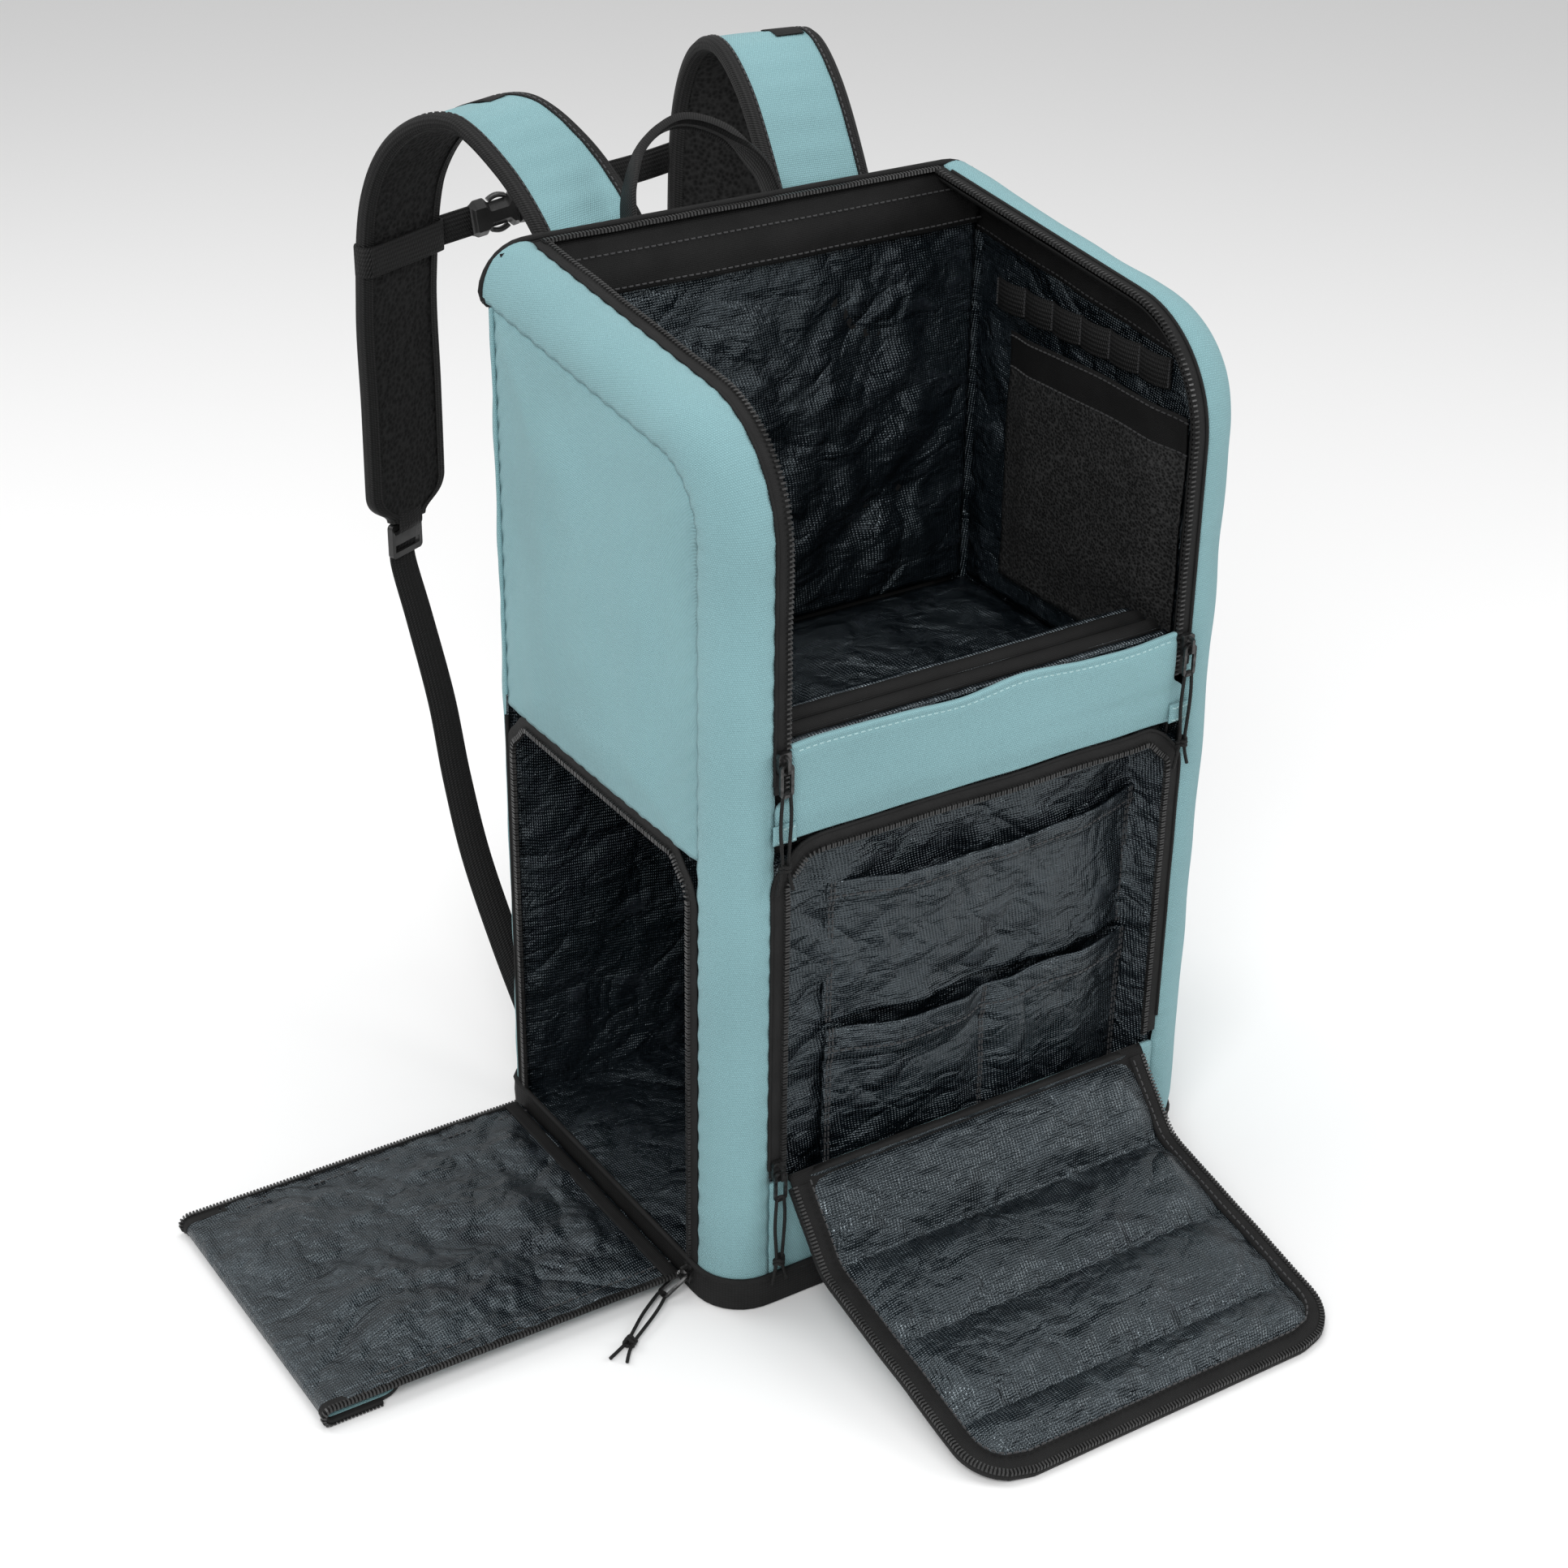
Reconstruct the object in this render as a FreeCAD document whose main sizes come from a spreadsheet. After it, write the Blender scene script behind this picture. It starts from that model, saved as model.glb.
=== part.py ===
import FreeCAD, Part
import math
import os
import re
import Sketcher

# Ski boot bag, upright and open: +X to the right of someone facing its front, the front
# faces -Y, the shoulder straps are at +Y, +Z is up.  The origin is the middle of the base.

DIMENSIONS = {
    "bag_width": 360.0,
    "bag_depth": 274.0,
    "wall": 4.0,
    "base_thick": 4.0,
    "front_straight": 503.5,
    "crown_radius": 75.0,
    "top_slope": 6.0,
    "corner_radius": 30.0,
    "seam_inset": 32.0,
    "zip_inset": 33.0,
    "tape_wide": 9.0,
    "tape_thick": 2.0,
    "back_thick": 6.0,
    "rear_radius": 14.0,
    "rear_height": 566.0,
    "door_top": 309.0,
    "band_bottom": 325.0,
    "lid_hinge_height": 386.0,
    "zip_tail_height": 357.0,
    "divider_top": 311.0,
    "pocket_zip_top": 318.0,
    "divider_thick": 3.0,
    "lining_thick": 1.2,
    "pocket_depth": 31.0,
    "lid_half": 137.0,
    "flap_half": 135.5,
    "lid_panel_high": 70.0,
    "lid_panel_thick": 5.0,
    "lid_pitch": 7.0,
    "hinge_gap": 2.0,
    "flap_hinge_height": 90.0,
    "flap_near_long": 60.5,
    "flap_far_long": 167.0,
    "flap_near_fall": 50.0,
    "flap_far_fall": 12.9,
    "flap_thick": 5.0,
    "flap_corner": 34.0,
    "door_lower_long": 240.0,
    "door_upper_long": 56.0,
    "door_thick": 5.5,
    "strap_wide": 70.0,
    "strap_thick": 9.0,
    "webbing_wide": 22.0,
    "webbing_thick": 1.8,
    "cord_diameter": 2.2,
    "organizer_left": 95.0,
    "organizer_right": 135.0,
    "organizer_thick": 2.0,
    "upper_low": 172.0,
    "upper_high": 272.0,
    "upper_depth": 7.0,
    "lower_low": 10.0,
    "lower_high": 169.0,
    "lower_depth": 9.0,
    "net_front": 92.0,
    "net_rear": 84.0,
    "net_low": 330.0,
    "net_high": 500.0,
    "net_thick": 1.2,
    "net_depth": 7.0,
    "loops_front": 72.0,
    "loops_rear": 100.0,
    "loops_low": 512.0,
    "loops_high": 532.0,
    "back_top": 598.0,
    "frame_half": 150.0,
    "frame_low": 12.0,
    "frame_high": 580.0,
    "frame_thick": 3.0,
    "frame_corner": 20.0,
    "pad_inner": 18.0,
    "pad_outer": 140.0,
    "pad_low": 215.0,
    "pad_high": 520.0,
    "pad_thick": 12.0,
    "pad_corner": 24.0,
    "lumbar_low": 70.0,
    "lumbar_high": 195.0,
    "lumbar_thick": 14.0,
    "yoke_half": 118.0,
    "yoke_low": 532.0,
    "yoke_high": 590.0,
    "yoke_thick": 5.0,
    "yoke_corner": 12.0,
    "tab_inner": 120.0,
    "tab_crest": 152.0,
    "tab_outer": 164.0,
    "tab_low": 16.0,
    "tab_high": 66.0,
    "tab_thick": 4.0,
    "back_lining_top": 584.0,
    "back_lining_inset": 4.5,
    "divider_corner": 24.0,
    "divider_gap": 9.0,
    "pocket_wall_thick": 2.0,
    "hinge_axis_out": 3.5,
    "door_rest_height": 7.5,
    "door_clearance": 9.0,
    "door_corner": 20.0,
    "door_zip_wide": 8.0,
    "door_zip_low": 10.0,
    "lock_half": 15.0,
    "lock_half_high": 12.0,
    "lock_thick": 4.0,
    "lock_corner": 3.0,
    "lock_slot_half": 12.0,
    "chest_wide": 20.0,
    "chest_long": 152.0,
    "sleeve_half": 38.0,
    "sleeve_half_deep": 7.0,
    "sleeve_skin": 1.8,
    "tongue_long": 25.0,
    "socket_start": 26.0,
    "socket_long": 34.0,
    "buckle_wide": 26.0,
    "socket_deep": 11.0,
    "plug_start": 60.5,
    "plug_long": 16.0,
    "plug_deep": 8.0,
    "prong_start": 36.0,
    "prong_long": 26.0,
    "prong_deep": 5.2,
    "prong_high": 3.0,
}

doc = FreeCAD.newDocument("ski_boot_bag")
sheet = doc.addObject("Spreadsheet::Sheet", "dims")
for row, (alias, number) in enumerate(DIMENSIONS.items(), start=1):
    sheet.set(f"A{row}", alias)
    sheet.set(f"B{row}", str(number))
    sheet.setAlias(f"B{row}", alias)
doc.recompute()

nodes = []

PLANE_AXES = {"XY_Plane": (0, 1), "XZ_Plane": (0, 2), "YZ_Plane": (1, 2)}


def bound(text):
    """Turn 'bag_width / 2' into an expression on the sheet's cells."""
    def cell(word):
        name = word.group()
        return "dims." + name if name in DIMENSIONS else name
    return re.sub(r"[a-z][a-z_]*", cell, text)


def value(text):
    return float(sheet.evalExpression(bound(text)))


def bind(item, prop, text):
    item.setExpression(prop, bound(text))


def place(item, x="0", y="0", z="0"):
    for axis, text in zip("xyz", (x, y, z)):
        bind(item, "Placement.Base." + axis, text)


def settle(item, placement):
    """Set a placement that doesn't follow the sheet."""
    for axis in "xyz":
        item.setExpression("Placement.Base." + axis, None)
    item.Placement = placement


def node(item, label):
    """Register an object as one physical piece, with the name of its file."""
    item.Label = label
    nodes.append(item)
    return item


def new_body(name):
    return doc.addObject("PartDesign::Body", name)


def new_sketch(body, plane, name):
    sketch = body.newObject("Sketcher::SketchObject", name)
    support = next(item for item in body.Origin.OriginFeatures if item.Role == plane)
    sketch.AttachmentSupport = [(support, "")]
    sketch.MapMode = "FlatFace"
    return sketch


def pin_point(sketch, geometry, point, name, u_text, v_text):
    """Hold one sketch point at a distance from the origin given by the sheet."""
    for kind, axis, text in (("DistanceX", "u", u_text), ("DistanceY", "v", v_text)):
        index = sketch.addConstraint(
            Sketcher.Constraint(kind, -1, 1, geometry, point, value(text)))
        sketch.renameConstraint(index, axis + name)
        bind(sketch, "Constraints." + axis + name, text)


def polygon_sketch(body, plane, corners, name):
    sketch = new_sketch(body, plane, name)
    points = [FreeCAD.Vector(value(u), value(v), 0) for u, v in corners]
    count = len(points)
    for start, end in zip(points, points[1:] + points[:1]):
        sketch.addGeometry(Part.LineSegment(start, end), False)
    for index in range(count):
        sketch.addConstraint(
            Sketcher.Constraint("Coincident", index, 2, (index + 1) % count, 1))
    for index, (u_text, v_text) in enumerate(corners):
        pin_point(sketch, index, 1, str(index), u_text, v_text)
    return sketch


def add_pad(body, sketch, length, name, reverse=False):
    pad = body.newObject("PartDesign::Pad", name)
    pad.Profile = sketch
    pad.Reversed = reverse
    bind(pad, "Length", length)
    doc.recompute()
    return pad


def edges_at(shape, plane, spots):
    """Names of the straight edges that stand on the sketch points in spots."""
    first, second = PLANE_AXES[plane]
    names = []
    for number, edge in enumerate(shape.Edges, start=1):
        ends = [(v.Point[first], v.Point[second]) for v in edge.Vertexes]
        for spot in spots:
            if len(ends) == 2 and all(math.dist(end, spot) < 0.01 for end in ends):
                names.append(f"Edge{number}")
    return names


def panel(name, plane, corners, thick, at=("0", "0", "0"), rounds=None, holes=()):
    """A flat piece cut to an outline: corners in the plane, thickness along the plane's
    positive axis, chosen corners rounded, with holes cut through."""
    body = new_body(name)
    sketch = polygon_sketch(body, plane, corners, name + "_outline")
    pad = add_pad(body, sketch, thick, name + "_pad", reverse=(plane == "XZ_Plane"))
    for radius in sorted(set((rounds or {}).values())):
        picked = [index for index, text in rounds.items() if text == radius]
        spots = [(value(corners[index][0]), value(corners[index][1])) for index in picked]
        feature = body.Tip
        fillet = body.newObject("PartDesign::Fillet", name + "_rounding")
        fillet.Base = (feature, edges_at(feature.Shape, plane, spots))
        bind(fillet, "Radius", radius)
        doc.recompute()
    for number, hole in enumerate(holes):
        cutter = polygon_sketch(body, plane, hole, f"{name}_hole_{number}")
        before = body.Shape.Volume
        pocket = body.newObject("PartDesign::Pocket", f"{name}_cut_{number}")
        pocket.Profile = cutter
        pocket.Reversed = plane != "XZ_Plane"
        bind(pocket, "Length", thick)
        doc.recompute()
        assert body.Shape.Volume < before - 1.0, name + " hole cuts nothing"
    place(body, *at)
    return body


def rectangle(left, right, low, high):
    return [(left, low), (right, low), (right, high), (left, high)]


def box(name, x, y, z, long, deep, high):
    item = doc.addObject("Part::Box", name)
    bind(item, "Length", long)
    bind(item, "Width", deep)
    bind(item, "Height", high)
    place(item, x, y, z)
    return item


def fuse(name, pieces):
    item = doc.addObject("Part::MultiFuse", name)
    item.Shapes = pieces
    doc.recompute()
    return item


def cut(name, base, tool):
    item = doc.addObject("Part::Cut", name)
    item.Base = base
    item.Tool = tool
    doc.recompute()
    return item


def common(name, base, tool):
    item = doc.addObject("Part::Common", name)
    item.Base = base
    item.Tool = tool
    doc.recompute()
    return item


# ---------------------------------------------------------------- the bag's side profile

def crown_form(name, inset, back, floor, left, width, rounding=None):
    """The bag seen from the side, as a slab: upright front, crown arc, rising top."""
    body = new_body(name)
    sketch = new_sketch(body, "YZ_Plane", name + "_profile")
    radius = f"crown_radius - {inset}"
    front = f"{inset} - bag_depth / 2"
    centre = "crown_radius - bag_depth / 2"
    crest = (f"front_straight + ({radius}) / cos(top_slope)"
             f" + ({back} - ({centre})) * tan(top_slope)")
    y_back, y_front, z_low = value(back), value(front), value(floor)
    y_mid, z_mid, slope = value(centre), value("front_straight"), math.radians(value("top_slope"))
    z_back = value(crest)
    top = FreeCAD.Vector(y_mid - value(radius) * math.sin(slope),
                         z_mid + value(radius) * math.cos(slope), 0)
    low_back = FreeCAD.Vector(y_back, z_low, 0)
    low_front = FreeCAD.Vector(y_front, z_low, 0)
    shoulder = FreeCAD.Vector(y_front, z_mid, 0)
    high_back = FreeCAD.Vector(y_back, z_back, 0)
    circle = Part.Circle(FreeCAD.Vector(y_mid, z_mid, 0), FreeCAD.Vector(0, 0, 1), value(radius))
    sketch.addGeometry(Part.LineSegment(low_back, low_front), False)
    sketch.addGeometry(Part.LineSegment(low_front, shoulder), False)
    sketch.addGeometry(Part.ArcOfCircle(circle, math.pi / 2 + slope, math.pi), False)
    sketch.addGeometry(Part.LineSegment(top, high_back), False)
    sketch.addGeometry(Part.LineSegment(high_back, low_back), False)
    sketch.addConstraint(Sketcher.Constraint("Coincident", 0, 2, 1, 1))
    sketch.addConstraint(Sketcher.Constraint("Tangent", 1, 2, 2, 2))
    sketch.addConstraint(Sketcher.Constraint("Tangent", 2, 1, 3, 1))
    sketch.addConstraint(Sketcher.Constraint("Coincident", 3, 2, 4, 1))
    sketch.addConstraint(Sketcher.Constraint("Coincident", 4, 2, 0, 1))
    pin_point(sketch, 0, 1, "base", back, floor)
    pin_point(sketch, 2, 3, "crown", centre, "front_straight")
    pin_point(sketch, 3, 2, "crest", back, crest)
    sketch.addConstraint(Sketcher.Constraint("Horizontal", 0))
    index = sketch.addConstraint(Sketcher.Constraint("Radius", 2, value(radius)))
    sketch.renameConstraint(index, "crown")
    bind(sketch, "Constraints.crown", radius)
    add_pad(body, sketch, width, name + "_pad")
    if rounding:
        names = []
        for number, edge in enumerate(body.Tip.Shape.Edges, start=1):
            bounds = edge.BoundBox
            flat = bounds.XLength < 0.01
            at_back = bounds.YMin > y_back - 0.01
            at_base = bounds.ZMax < z_low + 0.01
            if flat and not at_back and not at_base:
                names.append(f"Edge{number}")
        feature = body.Tip
        fillet = body.newObject("PartDesign::Fillet", name + "_rounding")
        fillet.Base = (feature, names)
        bind(fillet, "Radius", rounding)
        doc.recompute()
    place(body, left)
    return body


# ---------------------------------------------------------------- base, back and sides

def build_base():
    outline = rectangle("-bag_width / 2", "bag_width / 2", "-bag_depth / 2", "bag_depth / 2")
    corners = {0: "corner_radius", 1: "corner_radius", 2: "rear_radius", 3: "rear_radius"}
    node(panel("base_panel", "XY_Plane", outline, "base_thick", rounds=corners), "base_panel")


def build_back():
    half = "bag_width / 2 - rear_radius"
    plate = panel("back_panel", "XZ_Plane", rectangle("-(" + half + ")", half, "base_thick", "back_top"),
                  "back_thick", at=("0", "bag_depth / 2 - back_thick", "0"))
    node(plate, "back_panel")
    stiffener = panel("frame_sheet", "XZ_Plane",
                      rectangle("-frame_half", "frame_half", "frame_low", "frame_high"),
                      "frame_thick", at=("0", "bag_depth / 2 - back_thick - frame_thick", "0"),
                      rounds={corner: "frame_corner" for corner in range(4)})
    node(stiffener, "frame_sheet")
    round_pad = {corner: "pad_corner" for corner in range(4)}
    for side, left, right in (("left", "-pad_outer", "-pad_inner"),
                              ("right", "pad_inner", "pad_outer")):
        pad = panel("back_pad_" + side, "XZ_Plane", rectangle(left, right, "pad_low", "pad_high"),
                    "pad_thick", at=("0", "bag_depth / 2", "0"), rounds=round_pad)
        node(pad, "back_pad_" + side)
    lumbar = panel("lumbar_pad", "XZ_Plane",
                   rectangle("-pad_outer", "pad_outer", "lumbar_low", "lumbar_high"),
                   "lumbar_thick", at=("0", "bag_depth / 2", "0"), rounds=round_pad)
    node(lumbar, "lumbar_pad")
    yoke = panel("strap_yoke", "XZ_Plane",
                 rectangle("-yoke_half", "yoke_half", "yoke_low", "yoke_high"), "yoke_thick",
                 at=("0", "bag_depth / 2", "0"), rounds={2: "yoke_corner", 3: "yoke_corner"})
    node(yoke, "strap_yoke")
    tabs = []
    for side, sign in (("left", "-1"), ("right", "1")):
        outline = [(sign + " * tab_inner", "tab_low"), (sign + " * tab_outer", "tab_low"),
                   (sign + " * tab_outer", "tab_high"), (sign + " * tab_crest", "tab_high")]
        tabs.append(panel("anchor_tab_" + side, "XZ_Plane", outline, "tab_thick",
                          at=("0", "bag_depth / 2", "0")))
    node(fuse("anchor_tabs", tabs), "anchor_tabs")


def build_sides():
    seam_back = "(bag_depth / 2 - rear_radius)"
    left_panel = crown_form("side_panel_left", "seam_inset", seam_back, "door_top",
                            "-bag_width / 2", "wall")
    node(left_panel, "side_panel_left")
    right_panel = crown_form("side_panel_right", "seam_inset", seam_back, "base_thick",
                             "bag_width / 2 - wall", "wall")
    node(right_panel, "side_panel_right")
    left_lining = crown_form("lining_left", "seam_inset", "(bag_depth / 2 - rear_radius)",
                             "door_top", "wall - bag_width / 2", "lining_thick")
    node(left_lining, "lining_left")
    right_lining = crown_form("lining_right", "seam_inset", "(bag_depth / 2 - rear_radius)",
                              "base_thick", "bag_width / 2 - wall - lining_thick", "lining_thick")
    node(right_lining, "lining_right")
    corners = []
    for side, sign in (("left", -1), ("right", 1)):
        outer = f"{sign} * bag_width / 2"
        rear = [(outer, "bag_depth / 2 - rear_radius"), (outer, "bag_depth / 2"),
                (f"{sign} * (bag_width / 2 - rear_radius)", "bag_depth / 2"),
                (f"{sign} * (bag_width / 2 - rear_radius)", "bag_depth / 2 - wall"),
                (f"{sign} * (bag_width / 2 - wall)", "bag_depth / 2 - wall"),
                (f"{sign} * (bag_width / 2 - wall)", "bag_depth / 2 - rear_radius")]
        corners.append(panel("rear_corner_" + side, "XY_Plane", rear, "rear_height - base_thick",
                             at=("0", "0", "base_thick"),
                             rounds={1: "rear_radius - 0.5", 4: "rear_radius - wall - 0.5"}))
    node(fuse("rear_corners", corners), "rear_corners")


def build_gussets():
    """The padded strip that turns the front corner and the crown, one on each side: the
    rounded shell between the side seam and the zip."""
    outer = crown_form("outer_form", "0", "bag_depth / 2", "base_thick", "-bag_width / 2",
                       "bag_width", rounding="corner_radius")
    inner = crown_form("inner_form", "wall", "bag_depth / 2 + 20", "base_thick - 10",
                       "wall - bag_width / 2", "bag_width - 2 * wall",
                       rounding="corner_radius - wall")
    shell = cut("shell", outer, inner)
    seam = crown_form("seam_form", "seam_inset", "bag_depth / 2 + 20", "-10",
                      "-bag_width / 2 - 10", "bag_width + 20")
    strips = cut("shell_strips", shell, seam)
    for side, left in (("left", "-bag_width / 2"), ("right", "bag_width / 2 - zip_inset")):
        front = box("gusset_zone_" + side, left, "-bag_depth / 2", "0", "zip_inset",
                    "bag_depth - back_thick", "700")
        rear_left = left if side == "left" else "bag_width / 2 - rear_radius"
        rear = box("gusset_zone_rear_" + side, rear_left, "bag_depth / 2 - back_thick",
                   "rear_height", "rear_radius", "back_thick", "100")
        zone = fuse("gusset_region_" + side, [front, rear])
        node(common("front_gusset_" + side, strips, zone), "front_gusset_" + side)


def build_main_zip():
    """Half of a coil zip on each side of the lid opening, from its tail beside the front
    band, over the crown, to the back edge."""
    inset = "1"
    for side, left in (("left", "zip_inset - bag_width / 2"),
                       ("right", "bag_width / 2 - zip_inset - tape_wide")):
        outside = crown_form("tape_out_" + side, inset, "bag_depth / 2 - back_thick",
                             "zip_tail_height", left, "tape_wide")
        inside = crown_form("tape_in_" + side, "(1 + tape_thick)", "bag_depth / 2 + 20",
                            "zip_tail_height - 20", left + " - 5", "tape_wide + 10")
        node(cut("main_zip_" + side, outside, inside), "main_zip_" + side)


# ---------------------------------------------------------------- front and inside walls

def build_front():
    edge = "bag_width / 2 - zip_inset"
    narrow = "bag_width / 2 - zip_inset - tape_wide - 1"
    band = [(f"-({edge})", "band_bottom"), (edge, "band_bottom"), (edge, "zip_tail_height - 1"),
            (narrow, "zip_tail_height - 1"), (narrow, "lid_hinge_height"),
            (f"-({narrow})", "lid_hinge_height"), (f"-({narrow})", "zip_tail_height - 1"),
            (f"-({edge})", "zip_tail_height - 1")]
    node(panel("front_band", "XZ_Plane", band, "wall + 1", at=("0", "-bag_depth / 2", "0")),
         "front_band")
    skirt = rectangle(f"-({edge})", edge, "base_thick", "flap_hinge_height - 2")
    node(panel("front_skirt", "XZ_Plane", skirt, "wall", at=("0", "-bag_depth / 2", "0")),
         "front_skirt")
    leg = "bag_width / 2 - zip_inset - tape_wide"
    tape = [(f"-({edge})", "flap_hinge_height - 2"), (f"-({leg})", "flap_hinge_height - 2"),
            (f"-({leg})", "pocket_zip_top"), (leg, "pocket_zip_top"), (leg, "flap_hinge_height - 2"),
            (edge, "flap_hinge_height - 2"), (edge, "band_bottom"), (f"-({edge})", "band_bottom")]
    node(panel("pocket_zip", "XZ_Plane", tape, "tape_thick", at=("0", "-bag_depth / 2", "0")),
         "pocket_zip")


def build_divider():
    reach = "bag_width / 2 - divider_gap"
    floor = panel("divider_floor", "XY_Plane",
                  rectangle(f"-({reach})", reach, "6 - bag_depth / 2", "bag_depth / 2 - 12"),
                  "divider_thick", at=("0", "0", "divider_top - divider_thick"),
                  rounds={0: "divider_corner", 1: "divider_corner"})
    node(floor, "divider_floor")
    wall = panel("pocket_wall", "XZ_Plane",
                 rectangle(f"-({reach})", reach, "base_thick", "divider_top - divider_thick"),
                 "pocket_wall_thick",
                 at=("0", "pocket_depth - bag_depth / 2 - pocket_wall_thick", "0"))
    node(wall, "pocket_wall")
    back = panel("lining_back", "XZ_Plane",
                 rectangle(f"-({reach})", reach, "divider_top", "back_lining_top"),
                 "lining_thick", at=("0", "bag_depth / 2 - back_thick - back_lining_inset", "0"))
    node(back, "lining_back")


def organizer(name, level_name, split):
    """A stitched-on pocket, open at the top: front, two sides and a floor in one piece."""
    low, depth = level_name + "_low", level_name + "_depth"
    high = f"{level_name}_high - {low}"
    face = f"pocket_depth - bag_depth / 2 - pocket_wall_thick - {depth}"
    thin = "organizer_thick"
    wide = "organizer_left + organizer_right"
    pieces = [box(name + "_front", "-organizer_left", face, low, wide, thin, high),
              box(name + "_floor", "-organizer_left", face, low, wide, depth, thin)]
    walls = [("left", "-organizer_left"), ("right", "organizer_right - organizer_thick")]
    if split:
        walls.append(("split", "(organizer_right - organizer_left) / 2"))
    for word, x in walls:
        pieces.append(box(name + "_" + word, x, face, low, thin, depth, high))
    node(fuse(name, pieces), name)


def build_inside():
    organizer("organizer_upper", "upper", False)
    organizer("organizer_lower", "lower", True)
    wall = "bag_width / 2 - wall - lining_thick"
    net_x = wall + " - net_depth"
    net = panel("net_face", "YZ_Plane",
                rectangle("-net_front", "net_rear", "net_low", "net_high"), "net_thick",
                at=(net_x, "0", "0"))
    high, deep = "net_high - net_low", "net_front + net_rear"
    edges = [box("net_edge_front", net_x, "-net_front", "net_low", "net_depth", "net_thick", high),
             box("net_edge_rear", net_x, "net_rear - net_thick", "net_low", "net_depth",
                 "net_thick", high),
             box("net_edge_base", net_x, "-net_front", "net_low", "net_depth", deep, "net_thick")]
    node(fuse("inner_pocket", [net] + edges), "inner_pocket")
    loops = panel("loop_webbing", "YZ_Plane",
                  rectangle("-loops_front", "loops_rear", "loops_low", "loops_high"),
                  "webbing_thick", at=(wall + " - webbing_thick", "0", "0"))
    node(loops, "loop_webbing")


# ---------------------------------------------------------------- lid, flap and door

def build_lid():
    """Six panels of the lid, folded like a concertina behind the front band."""
    for step, letter in enumerate("abcdef"):
        start = f"7 - bag_depth / 2 + {step} * lid_pitch"
        outline = rectangle("-lid_half", "lid_half", "lid_hinge_height - lid_panel_high + hinge_gap",
                            "lid_hinge_height - hinge_gap")
        piece = panel("lid_" + letter, "XZ_Plane", outline, "lid_panel_thick",
                      at=("0", start, "0"))
        node(piece, "lid_" + letter)


def build_flap():
    """The pocket flap lies open: a short steep panel from the hinge, then the long panel
    that ends on the floor.  Both are drawn flat along -Y and turned down to their fall."""
    hinge_y = "(0 - bag_depth / 2 - 2)"
    near = panel("flap_near", "XY_Plane",
                 rectangle("-flap_half", "flap_half", "0 - flap_near_long + 0.5", "-3.5"),
                 "flap_thick")
    far = panel("flap_far", "XY_Plane",
                rectangle("-flap_half", "flap_half", "0 - flap_far_long", "-0.5"), "flap_thick",
                rounds={0: "flap_corner", 1: "flap_corner"})
    fold_y = f"{hinge_y} - flap_near_long * cos(flap_near_fall)"
    fold_z = "flap_hinge_height - flap_near_long * sin(flap_near_fall)"
    for piece, fall, y, z in ((near, "flap_near_fall", hinge_y, "flap_hinge_height"),
                              (far, "flap_far_fall", fold_y, fold_z)):
        piece.Placement = FreeCAD.Placement(FreeCAD.Vector(), FreeCAD.Rotation(
            FreeCAD.Vector(1, 0, 0), value(fall)))
        bind(piece, "Placement.Rotation.Angle", fall)
        place(piece, "0", f"({y}) + flap_thick * sin({fall})", f"({z}) - flap_thick * cos({fall})")
    node(near, "flap_near")
    node(far, "flap_far")


def build_door():
    """The boot door lies on the ground beside the bag, its end folded underneath."""
    front = "-bag_depth / 2 + seam_inset + door_clearance"
    rear = "bag_depth / 2 - rear_radius - door_clearance"
    hinge_x = "(bag_width / 2 + hinge_axis_out)"
    outer_end = f"-{hinge_x} - door_lower_long + 0.8"
    lower = panel("door_lower", "XY_Plane",
                  rectangle(outer_end, f"-{hinge_x} - 2", front, rear),
                  "door_thick", at=("0", "0", "door_rest_height"))
    node(lower, "door_lower")
    upper = panel("door_upper", "XY_Plane",
                  rectangle(outer_end, f"-{hinge_x} - door_lower_long + door_upper_long",
                            front, rear),
                  "door_thick", rounds={1: "door_corner", 2: "door_corner"})
    node(upper, "door_upper")
    edge_front, edge_rear = "-bag_depth / 2 + seam_inset", "bag_depth / 2 - rear_radius"
    leg_front, leg_rear = edge_front + " + door_zip_wide", edge_rear + " - door_zip_wide"
    bar = "door_top - door_zip_wide"
    tape = [(edge_front, "door_zip_low"), (leg_front, "door_zip_low"), (leg_front, bar),
            (leg_rear, bar), (leg_rear, "door_zip_low"), (edge_rear, "door_zip_low"),
            (edge_rear, "door_top"), (edge_front, "door_top")]
    node(panel("door_zip", "YZ_Plane", tape, "tape_thick", at=("-bag_width / 2", "0", "0")),
         "door_zip")


# ---------------------------------------------------------------- zip sliders and pulls

RING_LONG = 20.0
RING_WIDE = 9.0
RING_WIRE = 2.0
RING_FLAT = 1.6
RING_TOP = 1.0                    # how far the ring reaches above its pin
RING_PIN = 4.1                    # from the tape's middle out to the pin

# The slider's face from the front, and its bridge from the side.
SHIELD = [("-3", "-7"), ("3", "-7"), ("4.2", "-2"), ("4.2", "7"), ("-4.2", "7"), ("-4.2", "-2")]
SHIELD_THICK = 4.0
BRIDGE = [("-2.5", "-5"), ("-7", "-4"), ("-7", "5"), ("-2.5", "6"), ("-2.5", "4"), ("-5.5", "3.5"),
          ("-5.5", "-2.5"), ("-2.5", "-3")]
BRIDGE_WIDE = 2.0

MAIN_SLIDER_HEIGHT = 378.0
POCKET_SLIDER_HEIGHT = 100.0
DOOR_SLIDER_HEIGHT = 14.0
SLIDER_OUT = 1.8                  # a slider's middle stands this far out from its tape
SLIDER_ASIDE = 1.2                # and this far towards its row of teeth
DOOR_SLIDER_BACK = 4.0

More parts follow.
